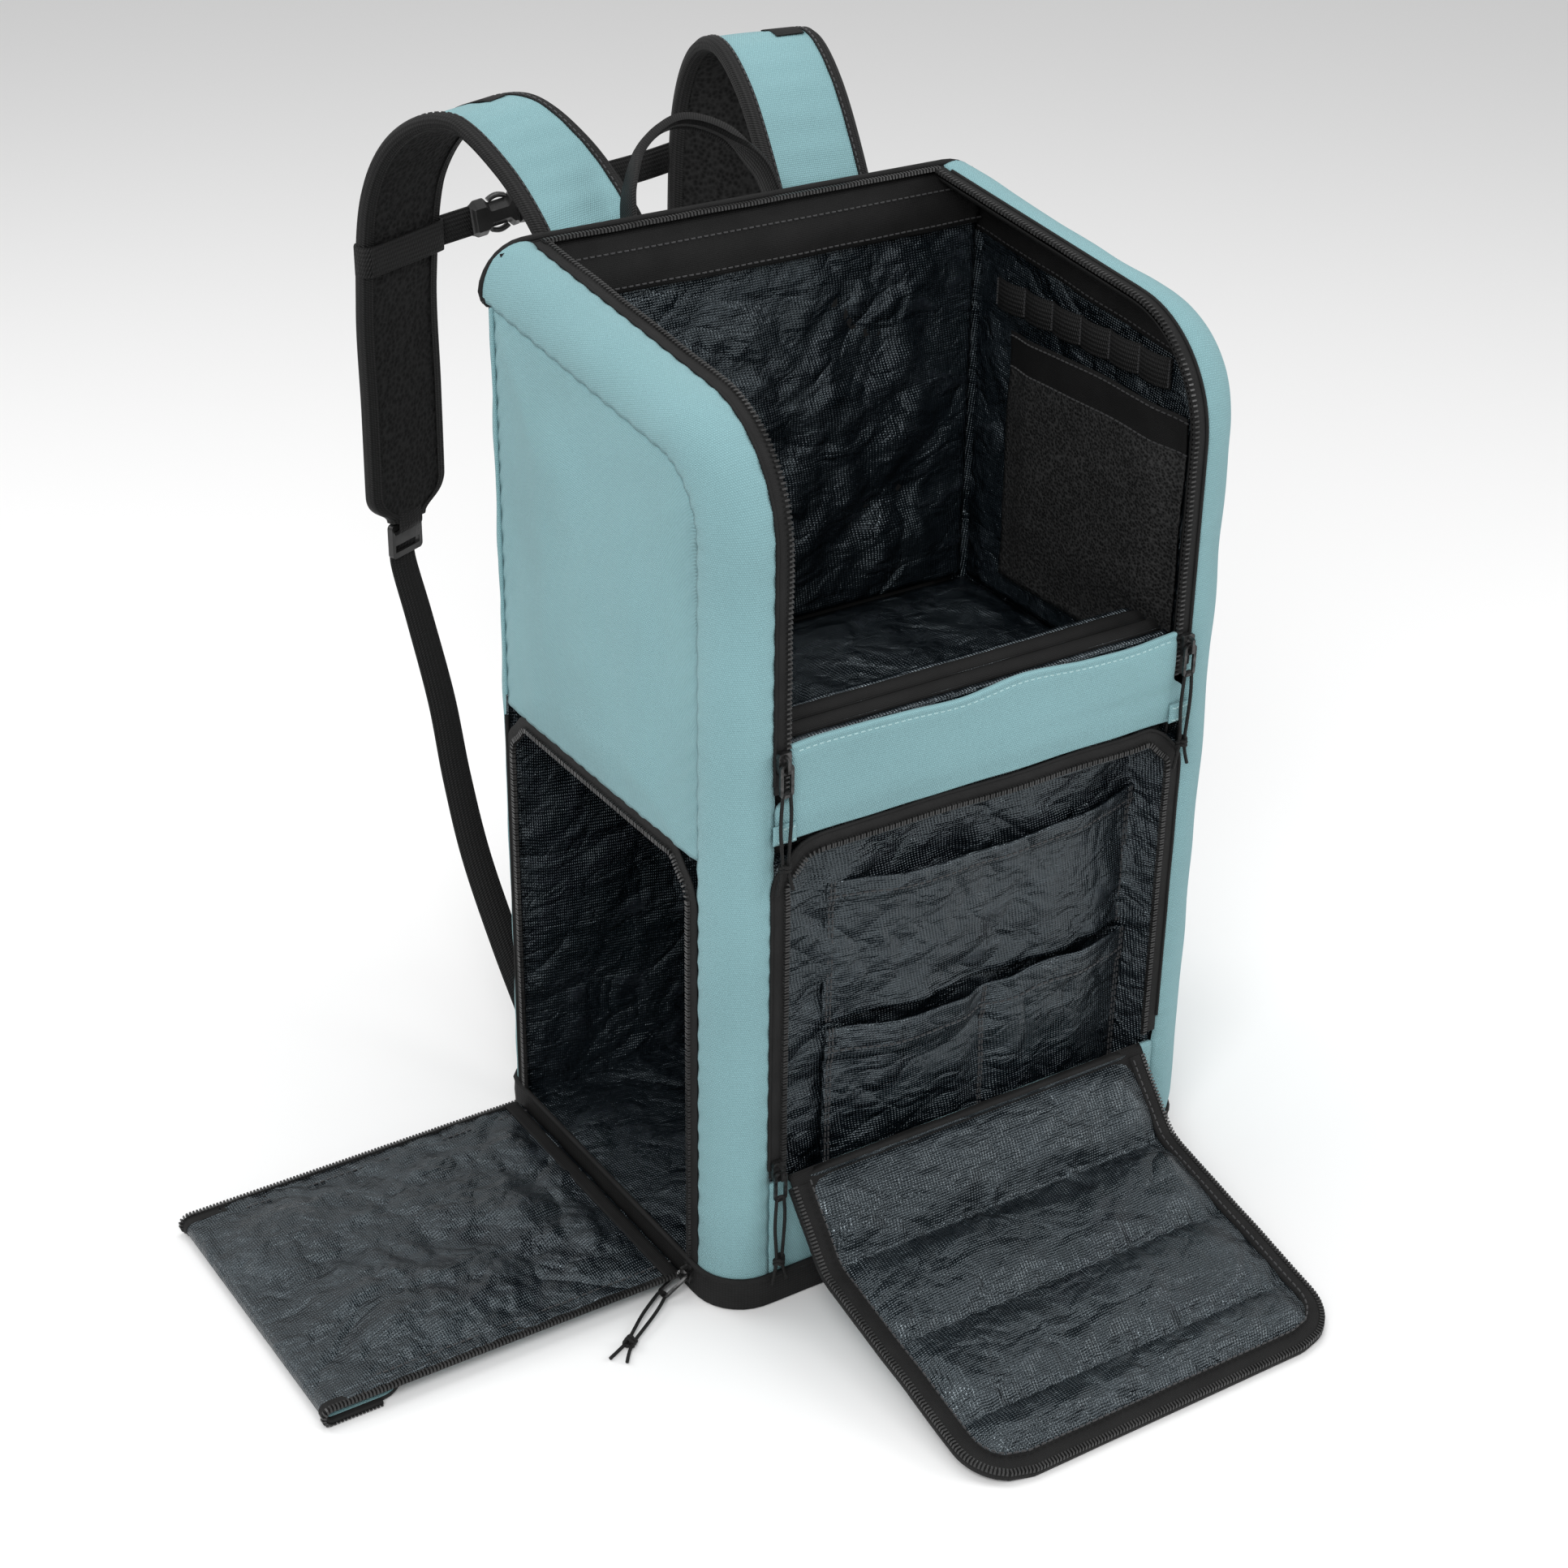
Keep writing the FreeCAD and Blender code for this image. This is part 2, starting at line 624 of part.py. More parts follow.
# One pull cord, in the plane of its ring: x across, z along, z = 0 at the ring's low bar.
PULL_ROUTE = [(-5.3, -63.0), (-3.4, -54.5), (-1.8, -46.0), (-2.6, -35.0), (-3.6, -22.0),
              (-3.3, -11.5), (-2.8, -4.2), (-2.5, 1.9), (2.5, 2.1), (3.0, -4.0), (3.5, -11.0),
              (3.3, -21.5), (2.4, -34.0), (1.6, -45.5), (2.9, -54.5), (5.4, -62.0)]


def rounded_path(points):
    """Straight runs joined by tangent arcs, each as large as its two runs allow."""
    radii = []
    edges = []
    start = points[0]
    for before, here, after in zip(points, points[1:], points[2:]):
        into = (here - before).normalize()
        out = (after - here).normalize()
        turn = into.getAngle(out)
        shorter = min((here - before).Length, (after - here).Length)
        radius = 0.45 * shorter / math.tan(turn / 2)
        trim = 0.45 * shorter
        first = here - into * trim
        last = here + out * trim
        inward = (out - into).normalize()
        middle = here + inward * (radius / math.cos(turn / 2) - radius)
        edges.append(Part.LineSegment(start, first).toShape())
        edges.append(Part.Arc(first, middle, last).toShape())
        start = last
        radii.append(radius)
    edges.append(Part.LineSegment(start, points[-1]).toShape())
    return Part.Wire(edges), radii


def cord_tube(name, points, diameter):
    path, radii = rounded_path(points)
    direction = points[1] - points[0]
    section = Part.Wire([Part.makeCircle(diameter / 2, points[0], direction)])
    tube = path.makePipeShell([section], True, True)
    expected = math.pi * diameter ** 2 / 4 * path.Length
    print(name, "length", round(path.Length, 1), "radii", [round(radius, 1) for radius in radii],
          "volume ratio", round(tube.Volume / expected, 4))
    return tube


def slider(name, placement):
    """The slider's wedge-shaped body with the bridge that holds its ring."""
    shield = panel(name + "_shield", "XZ_Plane", SHIELD, str(SHIELD_THICK),
                   at=("0", "-2.5", "0"), rounds={3: "2", 4: "2"})
    bridge = panel(name + "_bridge", "YZ_Plane", BRIDGE, str(BRIDGE_WIDE),
                   at=(f"-{BRIDGE_WIDE / 2}", "0", "0"))
    whole = fuse(name, [shield, bridge])
    settle(whole, placement)
    node(whole, name)


def ring_pull(name, placement):
    """The oval ring, hanging from its top bar inside the slider's bridge."""
    half, inner = RING_WIDE / 2, RING_WIDE / 2 - RING_WIRE
    ring = panel(name, "XZ_Plane",
                 rectangle(f"-{half}", f"{half}", f"-{RING_LONG}", str(RING_TOP)),
                 str(RING_FLAT),
                 rounds={0: "3", 1: "3", 2: "3", 3: "3"},
                 holes=[rectangle(f"-{inner}", f"{inner}", f"{RING_WIRE - RING_LONG}",
                                  f"{RING_TOP - RING_WIRE}")])
    settle(ring, placement)
    node(ring, name)


def pull_cord(name, placement):
    points = [FreeCAD.Vector(across, 0, along) for across, along in PULL_ROUTE]
    tube = cord_tube(name, points, value("cord_diameter"))
    cord = doc.addObject("Part::Feature", name)
    cord.Shape = tube
    cord.Placement = placement
    node(cord, name)


def turned(x, y, z, yaw, pitch=0.0):
    """A placement that faces -Y before turning about Z by yaw, after leaning by pitch."""
    lean = FreeCAD.Rotation(FreeCAD.Vector(1, 0, 0), pitch)
    turn = FreeCAD.Rotation(FreeCAD.Vector(0, 0, 1), yaw)
    return FreeCAD.Placement(FreeCAD.Vector(x, y, z), turn.multiply(lean))


def zip_pull(name, x, y, z, yaw=0.0, ring_lean=0.0, cord_yaw=0.0, cord_lean=0.0):
    """A slider on its tape at x, y, z, with its ring and the doubled cord in the ring."""
    slider(name + "_slider", turned(x, y, z, yaw))
    pin = turned(x, y, z, yaw).multVec(FreeCAD.Vector(0, -RING_PIN, 0))
    middle = FreeCAD.Placement(FreeCAD.Vector(0, -RING_FLAT / 2, 0), FreeCAD.Rotation())
    ring_place = turned(pin.x, pin.y, pin.z, yaw, ring_lean).multiply(middle)
    ring_pull(name + "_ring", ring_place)
    low_bar = ring_place.multVec(FreeCAD.Vector(0, RING_FLAT / 2, RING_WIRE / 2 - RING_LONG))
    pull_cord(name + "_cord", turned(low_bar.x, low_bar.y, low_bar.z, cord_yaw, cord_lean))


def build_pulls():
    tape_middle = value("bag_width / 2 - zip_inset - tape_wide / 2")
    slider_x = tape_middle + SLIDER_ASIDE
    front = value("-bag_depth / 2") - SLIDER_OUT
    zip_pull("main_left", -slider_x, front, MAIN_SLIDER_HEIGHT)
    zip_pull("main_right", slider_x, front, MAIN_SLIDER_HEIGHT)
    zip_pull("pocket", -slider_x, front, POCKET_SLIDER_HEIGHT)
    door_front = value("-bag_depth / 2 + seam_inset") + DOOR_SLIDER_BACK
    zip_pull("door", value("-bag_width / 2") - SLIDER_OUT, door_front, DOOR_SLIDER_HEIGHT,
             yaw=-90.0, ring_lean=-60.0, cord_yaw=-55.0, cord_lean=-87.0)


# ---------------------------------------------------------------- straps, buckle and handle

def level(degrees):
    """A level width direction, turned about Z."""
    angle = math.radians(degrees)
    return FreeCAD.Vector(math.cos(angle), math.sin(angle), 0)


def band_solid(stations, thick):
    """A flat band: each station is a middle point, a width direction and a width."""
    points = [FreeCAD.Vector(*station[0]) for station in stations]
    wires = []
    for index, (point, (_, across, wide)) in enumerate(zip(points, stations)):
        before = points[max(index - 1, 0)]
        after = points[min(index + 1, len(points) - 1)]
        along = (after - before).normalize()
        side = (across - along * across.dot(along)).normalize()
        up = along.cross(side)
        corners = [point + side * (wide / 2 * s) + up * (thick / 2 * u)
                   for s, u in ((-1, -1), (1, -1), (1, 1), (-1, 1))]
        wires.append(Part.makePolygon(corners + corners[:1]))
    return Part.makeLoft(wires, True, True)


def band(name, stations, thick):
    item = doc.addObject("Part::Feature", name)
    item.Shape = band_solid(stations, thick)
    return node(item, name)


STRAP_WIDE = value("strap_wide")
STRAP_TIP = FreeCAD.Vector(-1, -1, -22)      # from the last station to the strap's end
TIP_SHARE = 0.45                             # the end's width, as a share of the strap's
LOCKS = (("left", -164, 289, 24), ("right", 78, 281, -18))       # side, x, y, turn
LOCK_HEIGHT = 355
WEBBING_TURNS = {"left": (24, 0), "right": (-18, 0)}

# Middle line of each shoulder strap from its seam on the yoke, over the top, to its tip,
# then how far its width is turned outwards.
LEFT_STRAP = [((-84, 149.5, 556), 0), ((-90, 172, 592), 3), ((-97, 210, 622), 6),
              ((-110, 250, 640), 12), ((-132, 280, 628), 18), ((-150, 296, 590), 22),
              ((-157, 300, 520), 24), ((-159, 297, 450), 24), ((-162, 292, 390), 24)]
RIGHT_STRAP = [((74, 149.5, 556), 0), ((76, 172, 596), -2), ((80, 208, 640), -4),
               ((84, 245, 660), -8), ((86, 276, 646), -12), ((84, 292, 600), -16),
               ((82, 294, 520), -18), ((80, 289, 450), -18), ((78, 284, 390), -18)]
LEFT_WEBBING = [(-168, 289, 338), (-164, 277, 300), (-160, 258, 246), (-161, 238, 196),
                (-162, 212, 148), (-160, 178, 98), (-157, 147, 56)]
RIGHT_WEBBING = [(82, 280.5, 337), (92, 270, 300), (105, 252, 246), (120, 232, 196),
                 (136, 208, 148), (150, 177, 98), (157, 147, 56)]


def build_straps():
    for side, route in (("left", LEFT_STRAP), ("right", RIGHT_STRAP)):
        stations = [(point, level(turn), STRAP_WIDE) for point, turn in route]
        tip, turn = route[-1]
        stations.append((FreeCAD.Vector(*tip) + STRAP_TIP, level(turn), STRAP_WIDE * TIP_SHARE))
        band("shoulder_strap_" + side, stations, value("strap_thick"))
    locks = []
    for side, x, y, turn in LOCKS:
        outline = rectangle("-lock_half", "lock_half", "-lock_half_high", "lock_half_high")
        slots = [rectangle("-lock_slot_half", "lock_slot_half", low, high)
                 for low, high in (("4.5", "8"), ("-8", "-3"))]
        frame = panel("ladder_lock_" + side, "XZ_Plane", outline, "lock_thick",
                      rounds={corner: "lock_corner" for corner in range(4)}, holes=slots)
        settle(frame, turned(x, y, LOCK_HEIGHT, turn))
        locks.append(frame)
    node(fuse("ladder_locks", locks), "ladder_locks")
    wide = value("webbing_wide")
    for side, route in (("left", LEFT_WEBBING), ("right", RIGHT_WEBBING)):
        start, end = WEBBING_TURNS[side]
        last = len(route) - 1
        stations = [(point, level(start + (end - start) * index / last), wide)
                    for index, point in enumerate(route)]
        band("strap_webbing_" + side, stations, value("webbing_thick"))


CHEST_START = FreeCAD.Vector(-122, 313, 549)
CHEST_TILT = -7.5
SLEEVE_AT = (-154, 298.5, 549, 23)           # x, y, z, turn
PRONGS = ("-9.2", "-1.5", "6.2")


def build_chest_strap():
    """The chest strap hangs between the shoulder straps: a sleeve and the buckle's socket on
    the left one, the plug and its webbing on the right one."""
    place_at = FreeCAD.Placement(CHEST_START,
                                 FreeCAD.Rotation(FreeCAD.Vector(0, 1, 0), CHEST_TILT))
    half = "chest_wide / 2"

    def webbing_run(name, start, long):
        run = box(name, "0", "0", "0", long, "webbing_thick", "chest_wide")
        corner = FreeCAD.Vector(start, -value("webbing_thick") / 2, -value(half))
        settle(run, place_at.multiply(FreeCAD.Placement(corner, FreeCAD.Rotation())))
        return run

    outer = box("sleeve_outer", "-sleeve_half", "-sleeve_half_deep", f"-{half}",
                "2 * sleeve_half", "2 * sleeve_half_deep", "chest_wide")
    inner = box("sleeve_inner", "-sleeve_half + 2", "-sleeve_half_deep + sleeve_skin",
                f"-{half} - 2", "2 * sleeve_half - 4", "2 * (sleeve_half_deep - sleeve_skin)",
                "chest_wide + 4")
    sleeve = cut("sleeve", outer, inner)
    settle(sleeve, turned(*SLEEVE_AT))
    tongue = webbing_run("sleeve_tongue", 1, "tongue_long")
    node(fuse("chest_sleeve", [sleeve, tongue]), "chest_sleeve")
    shell = box("socket_shell", "socket_start", "-socket_deep / 2", "-buckle_wide / 2",
                "socket_long", "socket_deep", "buckle_wide")
    hollow = box("socket_hollow", "socket_start + 7", "-socket_deep * 0.3", f"-{half}",
                 "socket_long + 6", "socket_deep * 0.6", "chest_wide")
    socket = cut("buckle_socket", shell, hollow)
    settle(socket, place_at)
    node(socket, "buckle_socket")
    prongs = [box("prong", "prong_start", "-prong_deep / 2", low, "prong_long", "prong_deep",
                  "prong_high") for low in PRONGS]
    base = box("plug_base", "plug_start", "-plug_deep / 2", "-buckle_wide / 2", "plug_long",
               "plug_deep", "buckle_wide")
    plug = fuse("buckle_plug", prongs + [base])
    settle(plug, place_at)
    node(plug, "buckle_plug")
    plug_end = value("plug_start + plug_long")
    node(webbing_run("chest_webbing", plug_end, "chest_long"), "chest_webbing")


HANDLE_ROUTE = [((-72, 150, 592), 14), ((-66, 159, 611), 17), ((-48, 173, 631), 20),
                ((-20, 180, 640), 20), ((8, 173, 631), 20), ((26, 159, 611), 17),
                ((32, 150, 592), 14)]        # middle point and width
HANDLE_LEAN = FreeCAD.Vector(0, 0.78, -0.62)
HANDLE_THICK = 3.0


def build_handle():
    """The grab handle: a webbing loop that leans back from the top of the yoke."""
    band("grab_handle", [(point, HANDLE_LEAN, wide) for point, wide in HANDLE_ROUTE], HANDLE_THICK)


# ---------------------------------------------------------------- main

build_base()
build_back()
build_sides()
build_gussets()
build_main_zip()
build_front()
build_divider()
build_inside()
build_lid()
build_flap()
build_door()
build_pulls()
build_straps()
build_chest_strap()
build_handle()

doc.recompute()
broken = [item.Name for item in doc.Objects if set(item.State) & {"Invalid", "Error"}]
if broken:
    raise RuntimeError("failed objects: " + ", ".join(broken))
for item in nodes:
    shape = item.Shape
    if shape.isNull() or not shape.isValid() or not shape.Solids:
        raise RuntimeError("bad shape: " + item.Label)

os.makedirs("parts", exist_ok=True)
for item in nodes:
    item.Shape.exportStep("parts/" + item.Label + ".step")
print(len(nodes), "nodes")
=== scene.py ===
import math

import bpy
from mathutils import Matrix, Quaternion, Vector, noise


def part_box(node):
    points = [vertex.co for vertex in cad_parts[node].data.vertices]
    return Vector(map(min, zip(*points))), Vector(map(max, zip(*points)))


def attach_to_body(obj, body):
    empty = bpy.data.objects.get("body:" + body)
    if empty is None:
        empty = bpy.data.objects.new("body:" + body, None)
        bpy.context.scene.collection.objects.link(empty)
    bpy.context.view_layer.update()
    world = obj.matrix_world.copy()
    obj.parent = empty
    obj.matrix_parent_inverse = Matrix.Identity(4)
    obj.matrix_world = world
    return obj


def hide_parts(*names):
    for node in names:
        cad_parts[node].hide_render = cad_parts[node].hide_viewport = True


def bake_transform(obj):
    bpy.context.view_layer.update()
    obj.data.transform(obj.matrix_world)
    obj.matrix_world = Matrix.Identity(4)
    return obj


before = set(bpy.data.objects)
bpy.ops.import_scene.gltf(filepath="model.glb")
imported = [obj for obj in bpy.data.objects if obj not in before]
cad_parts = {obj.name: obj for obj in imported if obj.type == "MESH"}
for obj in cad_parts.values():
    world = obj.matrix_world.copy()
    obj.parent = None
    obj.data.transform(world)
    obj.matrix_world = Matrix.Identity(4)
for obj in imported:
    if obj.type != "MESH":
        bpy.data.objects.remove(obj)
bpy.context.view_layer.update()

# Everything is in metres, in the frame of the bag: +X right, front -Y, +Z up, floor at z = 0.

X_AXIS, Y_AXIS, Z_AXIS = Vector((1, 0, 0)), Vector((0, 1, 0)), Vector((0, 0, 1))
FORWARD, LEFTWARD = Vector((0, -1, 0)), Vector((-1, 0, 0))


# ---------------------------------------------------------------- camera, floor and light

def make_camera():
    camera = bpy.data.objects.new("camera", bpy.data.cameras.new("camera"))
    bpy.context.scene.collection.objects.link(camera)
    place, target, roll = Vector((-0.9042, -1.3054, 1.1394)), Vector((-0.0523, 0.0, 0.2724)), 0.0150
    camera.location = place
    camera.rotation_mode = "QUATERNION"
    aim = (target - place).to_track_quat("-Z", "Y")
    camera.rotation_quaternion = aim @ Quaternion((0, 0, 1), roll)
    camera.data.lens = 66.0
    camera.data.sensor_width = 36.0
    bpy.context.scene.camera = camera


def area_light(name, place, target, size, power):
    light = bpy.data.lights.new(name, "AREA")
    light.shape = "RECTANGLE"
    light.size, light.size_y = size
    light.energy = power
    item = bpy.data.objects.new(name, light)
    item.location = place
    item.rotation_mode = "QUATERNION"
    item.rotation_quaternion = (Vector(target) - Vector(place)).to_track_quat("-Z", "Y")
    bpy.context.scene.collection.objects.link(item)


def make_studio():
    bpy.ops.mesh.primitive_plane_add(size=30.0, location=(0, 0, -0.0006))
    floor = bpy.context.object
    floor.name = "floor"
    paper = bpy.data.materials.new("floor_paper")
    paper.use_nodes = True
    shader = paper.node_tree.nodes["Principled BSDF"]
    shader.inputs["Base Color"].default_value = (0.86, 0.86, 0.86, 1)
    shader.inputs["Roughness"].default_value = 0.9
    floor.data.materials.append(paper)
    world = bpy.data.worlds.new("studio")
    world.use_nodes = True
    world.node_tree.nodes["Background"].inputs["Color"].default_value = (1, 1, 1, 1)
    world.node_tree.nodes["Background"].inputs["Strength"].default_value = 0.56
    bpy.context.scene.world = world
    area_light("key", (-1.5, -1.6, 2.2), (0, 0, 0.3), (1.3, 1.3), 46)
    area_light("fill", (1.9, -1.5, 1.3), (0, 0, 0.3), (1.4, 1.4), 21)
    area_light("top", (0.1, 0.5, 2.4), (0, 0, 0.3), (1.5, 1.1), 18)
    area_light("rim", (-1.4, 1.6, 1.6), (0, 0, 0.4), (1.2, 1.2), 12)
    bpy.context.scene.view_settings.view_transform = "Standard"


# ---------------------------------------------------------------- materials

class Shader:
    """A principled material and short calls for the nodes that feed it."""

    def __init__(self, name, color, roughness, **uniform):
        self.material = bpy.data.materials.new(name)
        self.material.use_nodes = True
        self.tree = self.material.node_tree
        self.surface = self.tree.nodes["Principled BSDF"]
        self.surface.inputs["Base Color"].default_value = (*color, 1)
        self.surface.inputs["Roughness"].default_value = roughness
        for key, number in uniform.items():
            self.surface.inputs[key.replace("_", " ")].default_value = number
        self.coordinates = self.tree.nodes.new("ShaderNodeTexCoord")

    def link(self, source, target):
        self.tree.links.new(source, target)

    def math(self, operation, first, second=None, third=None):
        item = self.tree.nodes.new("ShaderNodeMath")
        item.operation = operation
        for socket, given in zip(item.inputs, (first, second, third)):
            if isinstance(given, (int, float)):
                socket.default_value = given
            elif given is not None:
                self.link(given, socket)
        return item.outputs[0]

    def noise(self, scale, detail=3.0, source="Object", stretch=(1, 1, 1), distortion=0.0):
        mapping = self.tree.nodes.new("ShaderNodeMapping")
        mapping.inputs["Scale"].default_value = stretch
        self.link(self.coordinates.outputs[source], mapping.inputs["Vector"])
        item = self.tree.nodes.new("ShaderNodeTexNoise")
        item.inputs["Scale"].default_value = scale
        item.inputs["Detail"].default_value = detail
        item.inputs["Distortion"].default_value = distortion
        self.link(mapping.outputs[0], item.inputs["Vector"])
        return item.outputs["Fac"]

    def cells(self, scale):
        item = self.tree.nodes.new("ShaderNodeTexVoronoi")
        item.inputs["Scale"].default_value = scale
        self.link(self.coordinates.outputs["Object"], item.inputs["Vector"])
        return item.outputs["Distance"]

    def waves(self, pitch, axis, source="UV", slant=0.0):
        """A sine between 0 and 1 that repeats every pitch metres along one axis."""
        parts = self.tree.nodes.new("ShaderNodeSeparateXYZ")
        self.link(self.coordinates.outputs[source], parts.inputs[0])
        along = parts.outputs[axis]
        if slant:
            other = parts.outputs[1 if axis == 0 else 0]
            along = self.math("MULTIPLY_ADD", other, slant, along)
        turn = self.math("MULTIPLY", along, 2 * math.pi / pitch)
        return self.math("MULTIPLY_ADD", self.math("SINE", turn), 0.5, 0.5)

    def ramp(self, factor, low, high, start=0.0, end=1.0):
        item = self.tree.nodes.new("ShaderNodeValToRGB")
        item.color_ramp.elements[0].position = start
        item.color_ramp.elements[1].position = end
        item.color_ramp.elements[0].color = (*low, 1)
        item.color_ramp.elements[1].color = (*high, 1)
        self.link(factor, item.inputs[0])
        return item.outputs[0]

    def color(self, factor, low, high, start=0.0, end=1.0):
        self.link(self.ramp(factor, low, high, start, end), self.surface.inputs["Base Color"])

    def roughness(self, factor, low, high, start=0.0, end=1.0):
        self.link(self.ramp(factor, (low,) * 3, (high,) * 3, start, end),
                  self.surface.inputs["Roughness"])

    def bump(self, *heights):
        """Each height is (factor, distance in metres); they add up."""
        previous = None
        for factor, distance in heights:
            item = self.tree.nodes.new("ShaderNodeBump")
            item.inputs["Strength"].default_value = 1.0
            item.inputs["Distance"].default_value = distance
            self.link(factor, item.inputs["Height"])
            if previous is not None:
                self.link(previous, item.inputs["Normal"])
            previous = item.outputs[0]
        self.link(previous, self.surface.inputs["Normal"])


TEAL = (0.207, 0.372, 0.398)
YARN = 0.0013


def tint(color, factor):
    return tuple(part * factor for part in color)


def make_teal():
    cloth = Shader("teal_twill", TEAL, 0.78, Sheen_Weight=0.06, Specular_IOR_Level=0.3)
    weave = cloth.math("MULTIPLY", cloth.waves(YARN, 0, slant=0.5), cloth.waves(YARN, 1))
    blotch = cloth.noise(9.0, 4.0)
    fibre = cloth.noise(900.0, 2.0)
    tone = cloth.math("MULTIPLY_ADD", blotch, 0.35, cloth.math("MULTIPLY", weave, 0.65))
    tone = cloth.math("MULTIPLY_ADD", fibre, 0.25, tone)
    cloth.color(tone, tint(TEAL, 0.72), tint(TEAL, 1.3), 0.15, 0.9)
    cloth.bump((blotch, 0.0015), (weave, 0.00035))
    return cloth.material


def make_lining():
    """Coated black cloth, woven from flat tapes: crinkled and glossy, with painted silver glints in
    specks.
    """
    cloth = Shader("crinkled_lining", (0.010, 0.013, 0.017), 0.26, Specular_IOR_Level=0.9,
                   Specular_Tint=(0.80, 0.93, 1.0, 1.0))
    tapes = cloth.math("MULTIPLY", cloth.waves(0.0021, 0, slant=0.15), cloth.waves(0.0016, 1))
    broad = cloth.noise(13.0, 2.0, distortion=0.7)
    fine = cloth.noise(44.0, 2.2, stretch=(0.7, 1.0, 1.3), distortion=0.5)
    grit = cloth.noise(420.0, 3.0)
    fold = cloth.math("ABSOLUTE", cloth.math("SUBTRACT", broad, 0.5))
    crease = cloth.math("ABSOLUTE", cloth.math("SUBTRACT", fine, 0.5))
    # lighter specks in the base colour along the tapes and crinkles: painted glints, not wear
    glint_speck = cloth.math("MULTIPLY", grit, cloth.math("MULTIPLY_ADD", tapes, 0.5, fine))
    cloth.color(glint_speck, (0.003, 0.005, 0.007), (0.034, 0.042, 0.050), 0.36, 0.66)
    cloth.roughness(fine, 0.14, 0.30, 0.3, 0.7)
    small = cloth.noise(120.0, 2.0, distortion=0.4)
    wrinkle = cloth.math("ABSOLUTE", cloth.math("SUBTRACT", small, 0.5))
    cloth.bump((fold, 0.018), (crease, 0.0068), (wrinkle, 0.0016), (grit, 0.00008),
               (tapes, 0.00045))
    return cloth.material


def make_black_cloth(name, shade=0.009, pitch=0.0009):
    cloth = Shader(name, (shade,) * 3, 0.72, Specular_IOR_Level=0.22)
    weave = cloth.math("MULTIPLY", cloth.waves(pitch, 0), cloth.waves(pitch, 1))
    dust = cloth.noise(60.0, 5.0)
    cloth.color(cloth.math("MULTIPLY_ADD", dust, 0.6, cloth.math("MULTIPLY", weave, 0.4)),
                (shade * 0.6,) * 3, (shade * 1.7,) * 3, 0.2, 0.8)
    cloth.bump((dust, 0.0006), (weave, 0.00018))
    return cloth.material


def make_webbing():
    cloth = Shader("ribbed_webbing", (0.009, 0.009, 0.01), 0.62, Specular_IOR_Level=0.25)
    ribs = cloth.waves(0.0016, 1, slant=0.4)
    rows = cloth.waves(0.0028, 0)
    cloth.color(cloth.math("MULTIPLY", ribs, rows), (0.004,) * 3, (0.018,) * 3)
    cloth.bump((rows, 0.0003), (ribs, 0.0003))
    return cloth.material


def make_air_mesh():
    cloth = Shader("air_mesh", (0.006, 0.006, 0.007), 0.8, Specular_IOR_Level=0.2)
    holes = cloth.cells(330.0)
    cloth.color(holes, (0.0015,) * 3, (0.017,) * 3, 0.15, 0.75)
    cloth.bump((holes, 0.0011), (cloth.noise(40.0), 0.001))
    return cloth.material


def make_net():
    cloth = Shader("fine_net", (0.012, 0.012, 0.014), 0.6, Specular_IOR_Level=0.25)
    holes = cloth.cells(520.0)
    cloth.color(holes, (0.003,) * 3, (0.035,) * 3, 0.2, 0.8)
    cloth.bump((holes, 0.0006), (cloth.noise(30.0), 0.002))
    return cloth.material


def make_plastic():
    plastic = Shader("black_plastic", (0.014, 0.014, 0.015), 0.34)
    grain = plastic.noise(700.0, 3.0)
    plastic.roughness(plastic.noise(90.0), 0.26, 0.46, 0.3, 0.7)
    plastic.color(plastic.noise(40.0), (0.01,) * 3, (0.022,) * 3, 0.3, 0.7)
    plastic.bump((grain, 0.0001))
    return plastic.material


def make_metal():
    metal = Shader("black_metal", (0.05, 0.052, 0.056), 0.3, Metallic=0.85)
    metal.roughness(metal.noise(120.0, 5.0), 0.2, 0.45, 0.3, 0.7)
    metal.color(metal.noise(300.0, 4.0), (0.03,) * 3, (0.11,) * 3, 0.35, 0.8)
    metal.bump((metal.noise(500.0), 0.00008))
    return metal.material


def make_thread(name, color):
    thread = Shader(name, color, 0.6, Sheen_Weight=0.2)
    twist = thread.noise(1500.0, 2.0)
    thread.color(twist, tint(color, 0.7), tint(color, 1.2), 0.3, 0.7)
    thread.bump((twist, 0.0001))
    return thread.material


def make_cord_weave():
    cord = Shader("braided_cord", (0.008, 0.008, 0.009), 0.7, Specular_IOR_Level=0.25)
    braid = cord.math("MULTIPLY", cord.waves(0.0011, 2, source="Object"),
                      cord.waves(0.0009, 0, source="Object"))
    cord.color(braid, (0.004,) * 3, (0.02,) * 3)
    cord.bump((braid, 0.00025))
    return cord.material


MATERIALS = {
    "teal": make_teal(),
    "lining": make_lining(),
    "black": make_black_cloth("black_cloth"),
    "tape": make_black_cloth("zip_tape_knit", shade=0.011, pitch=0.0007),
    "facing": make_black_cloth("facing_strip", shade=0.006, pitch=0.0011),
    "base": make_black_cloth("base_cloth", shade=0.008, pitch=0.0018),
    "webbing": make_webbing(),
    "mesh": make_air_mesh(),
    "net": make_net(),
    "plastic": make_plastic(),
    "metal": make_metal(),
    "coil": make_plastic(),
    "thread_light": make_thread("teal_thread", (0.36, 0.54, 0.55)),
    "thread_teal": make_thread("dark_teal_thread", (0.10, 0.19, 0.205)),
    "thread_black": make_thread("black_thread", (0.03, 0.03, 0.032)),
    "cord": make_cord_weave(),
}


# ---------------------------------------------------------------- mesh helpers

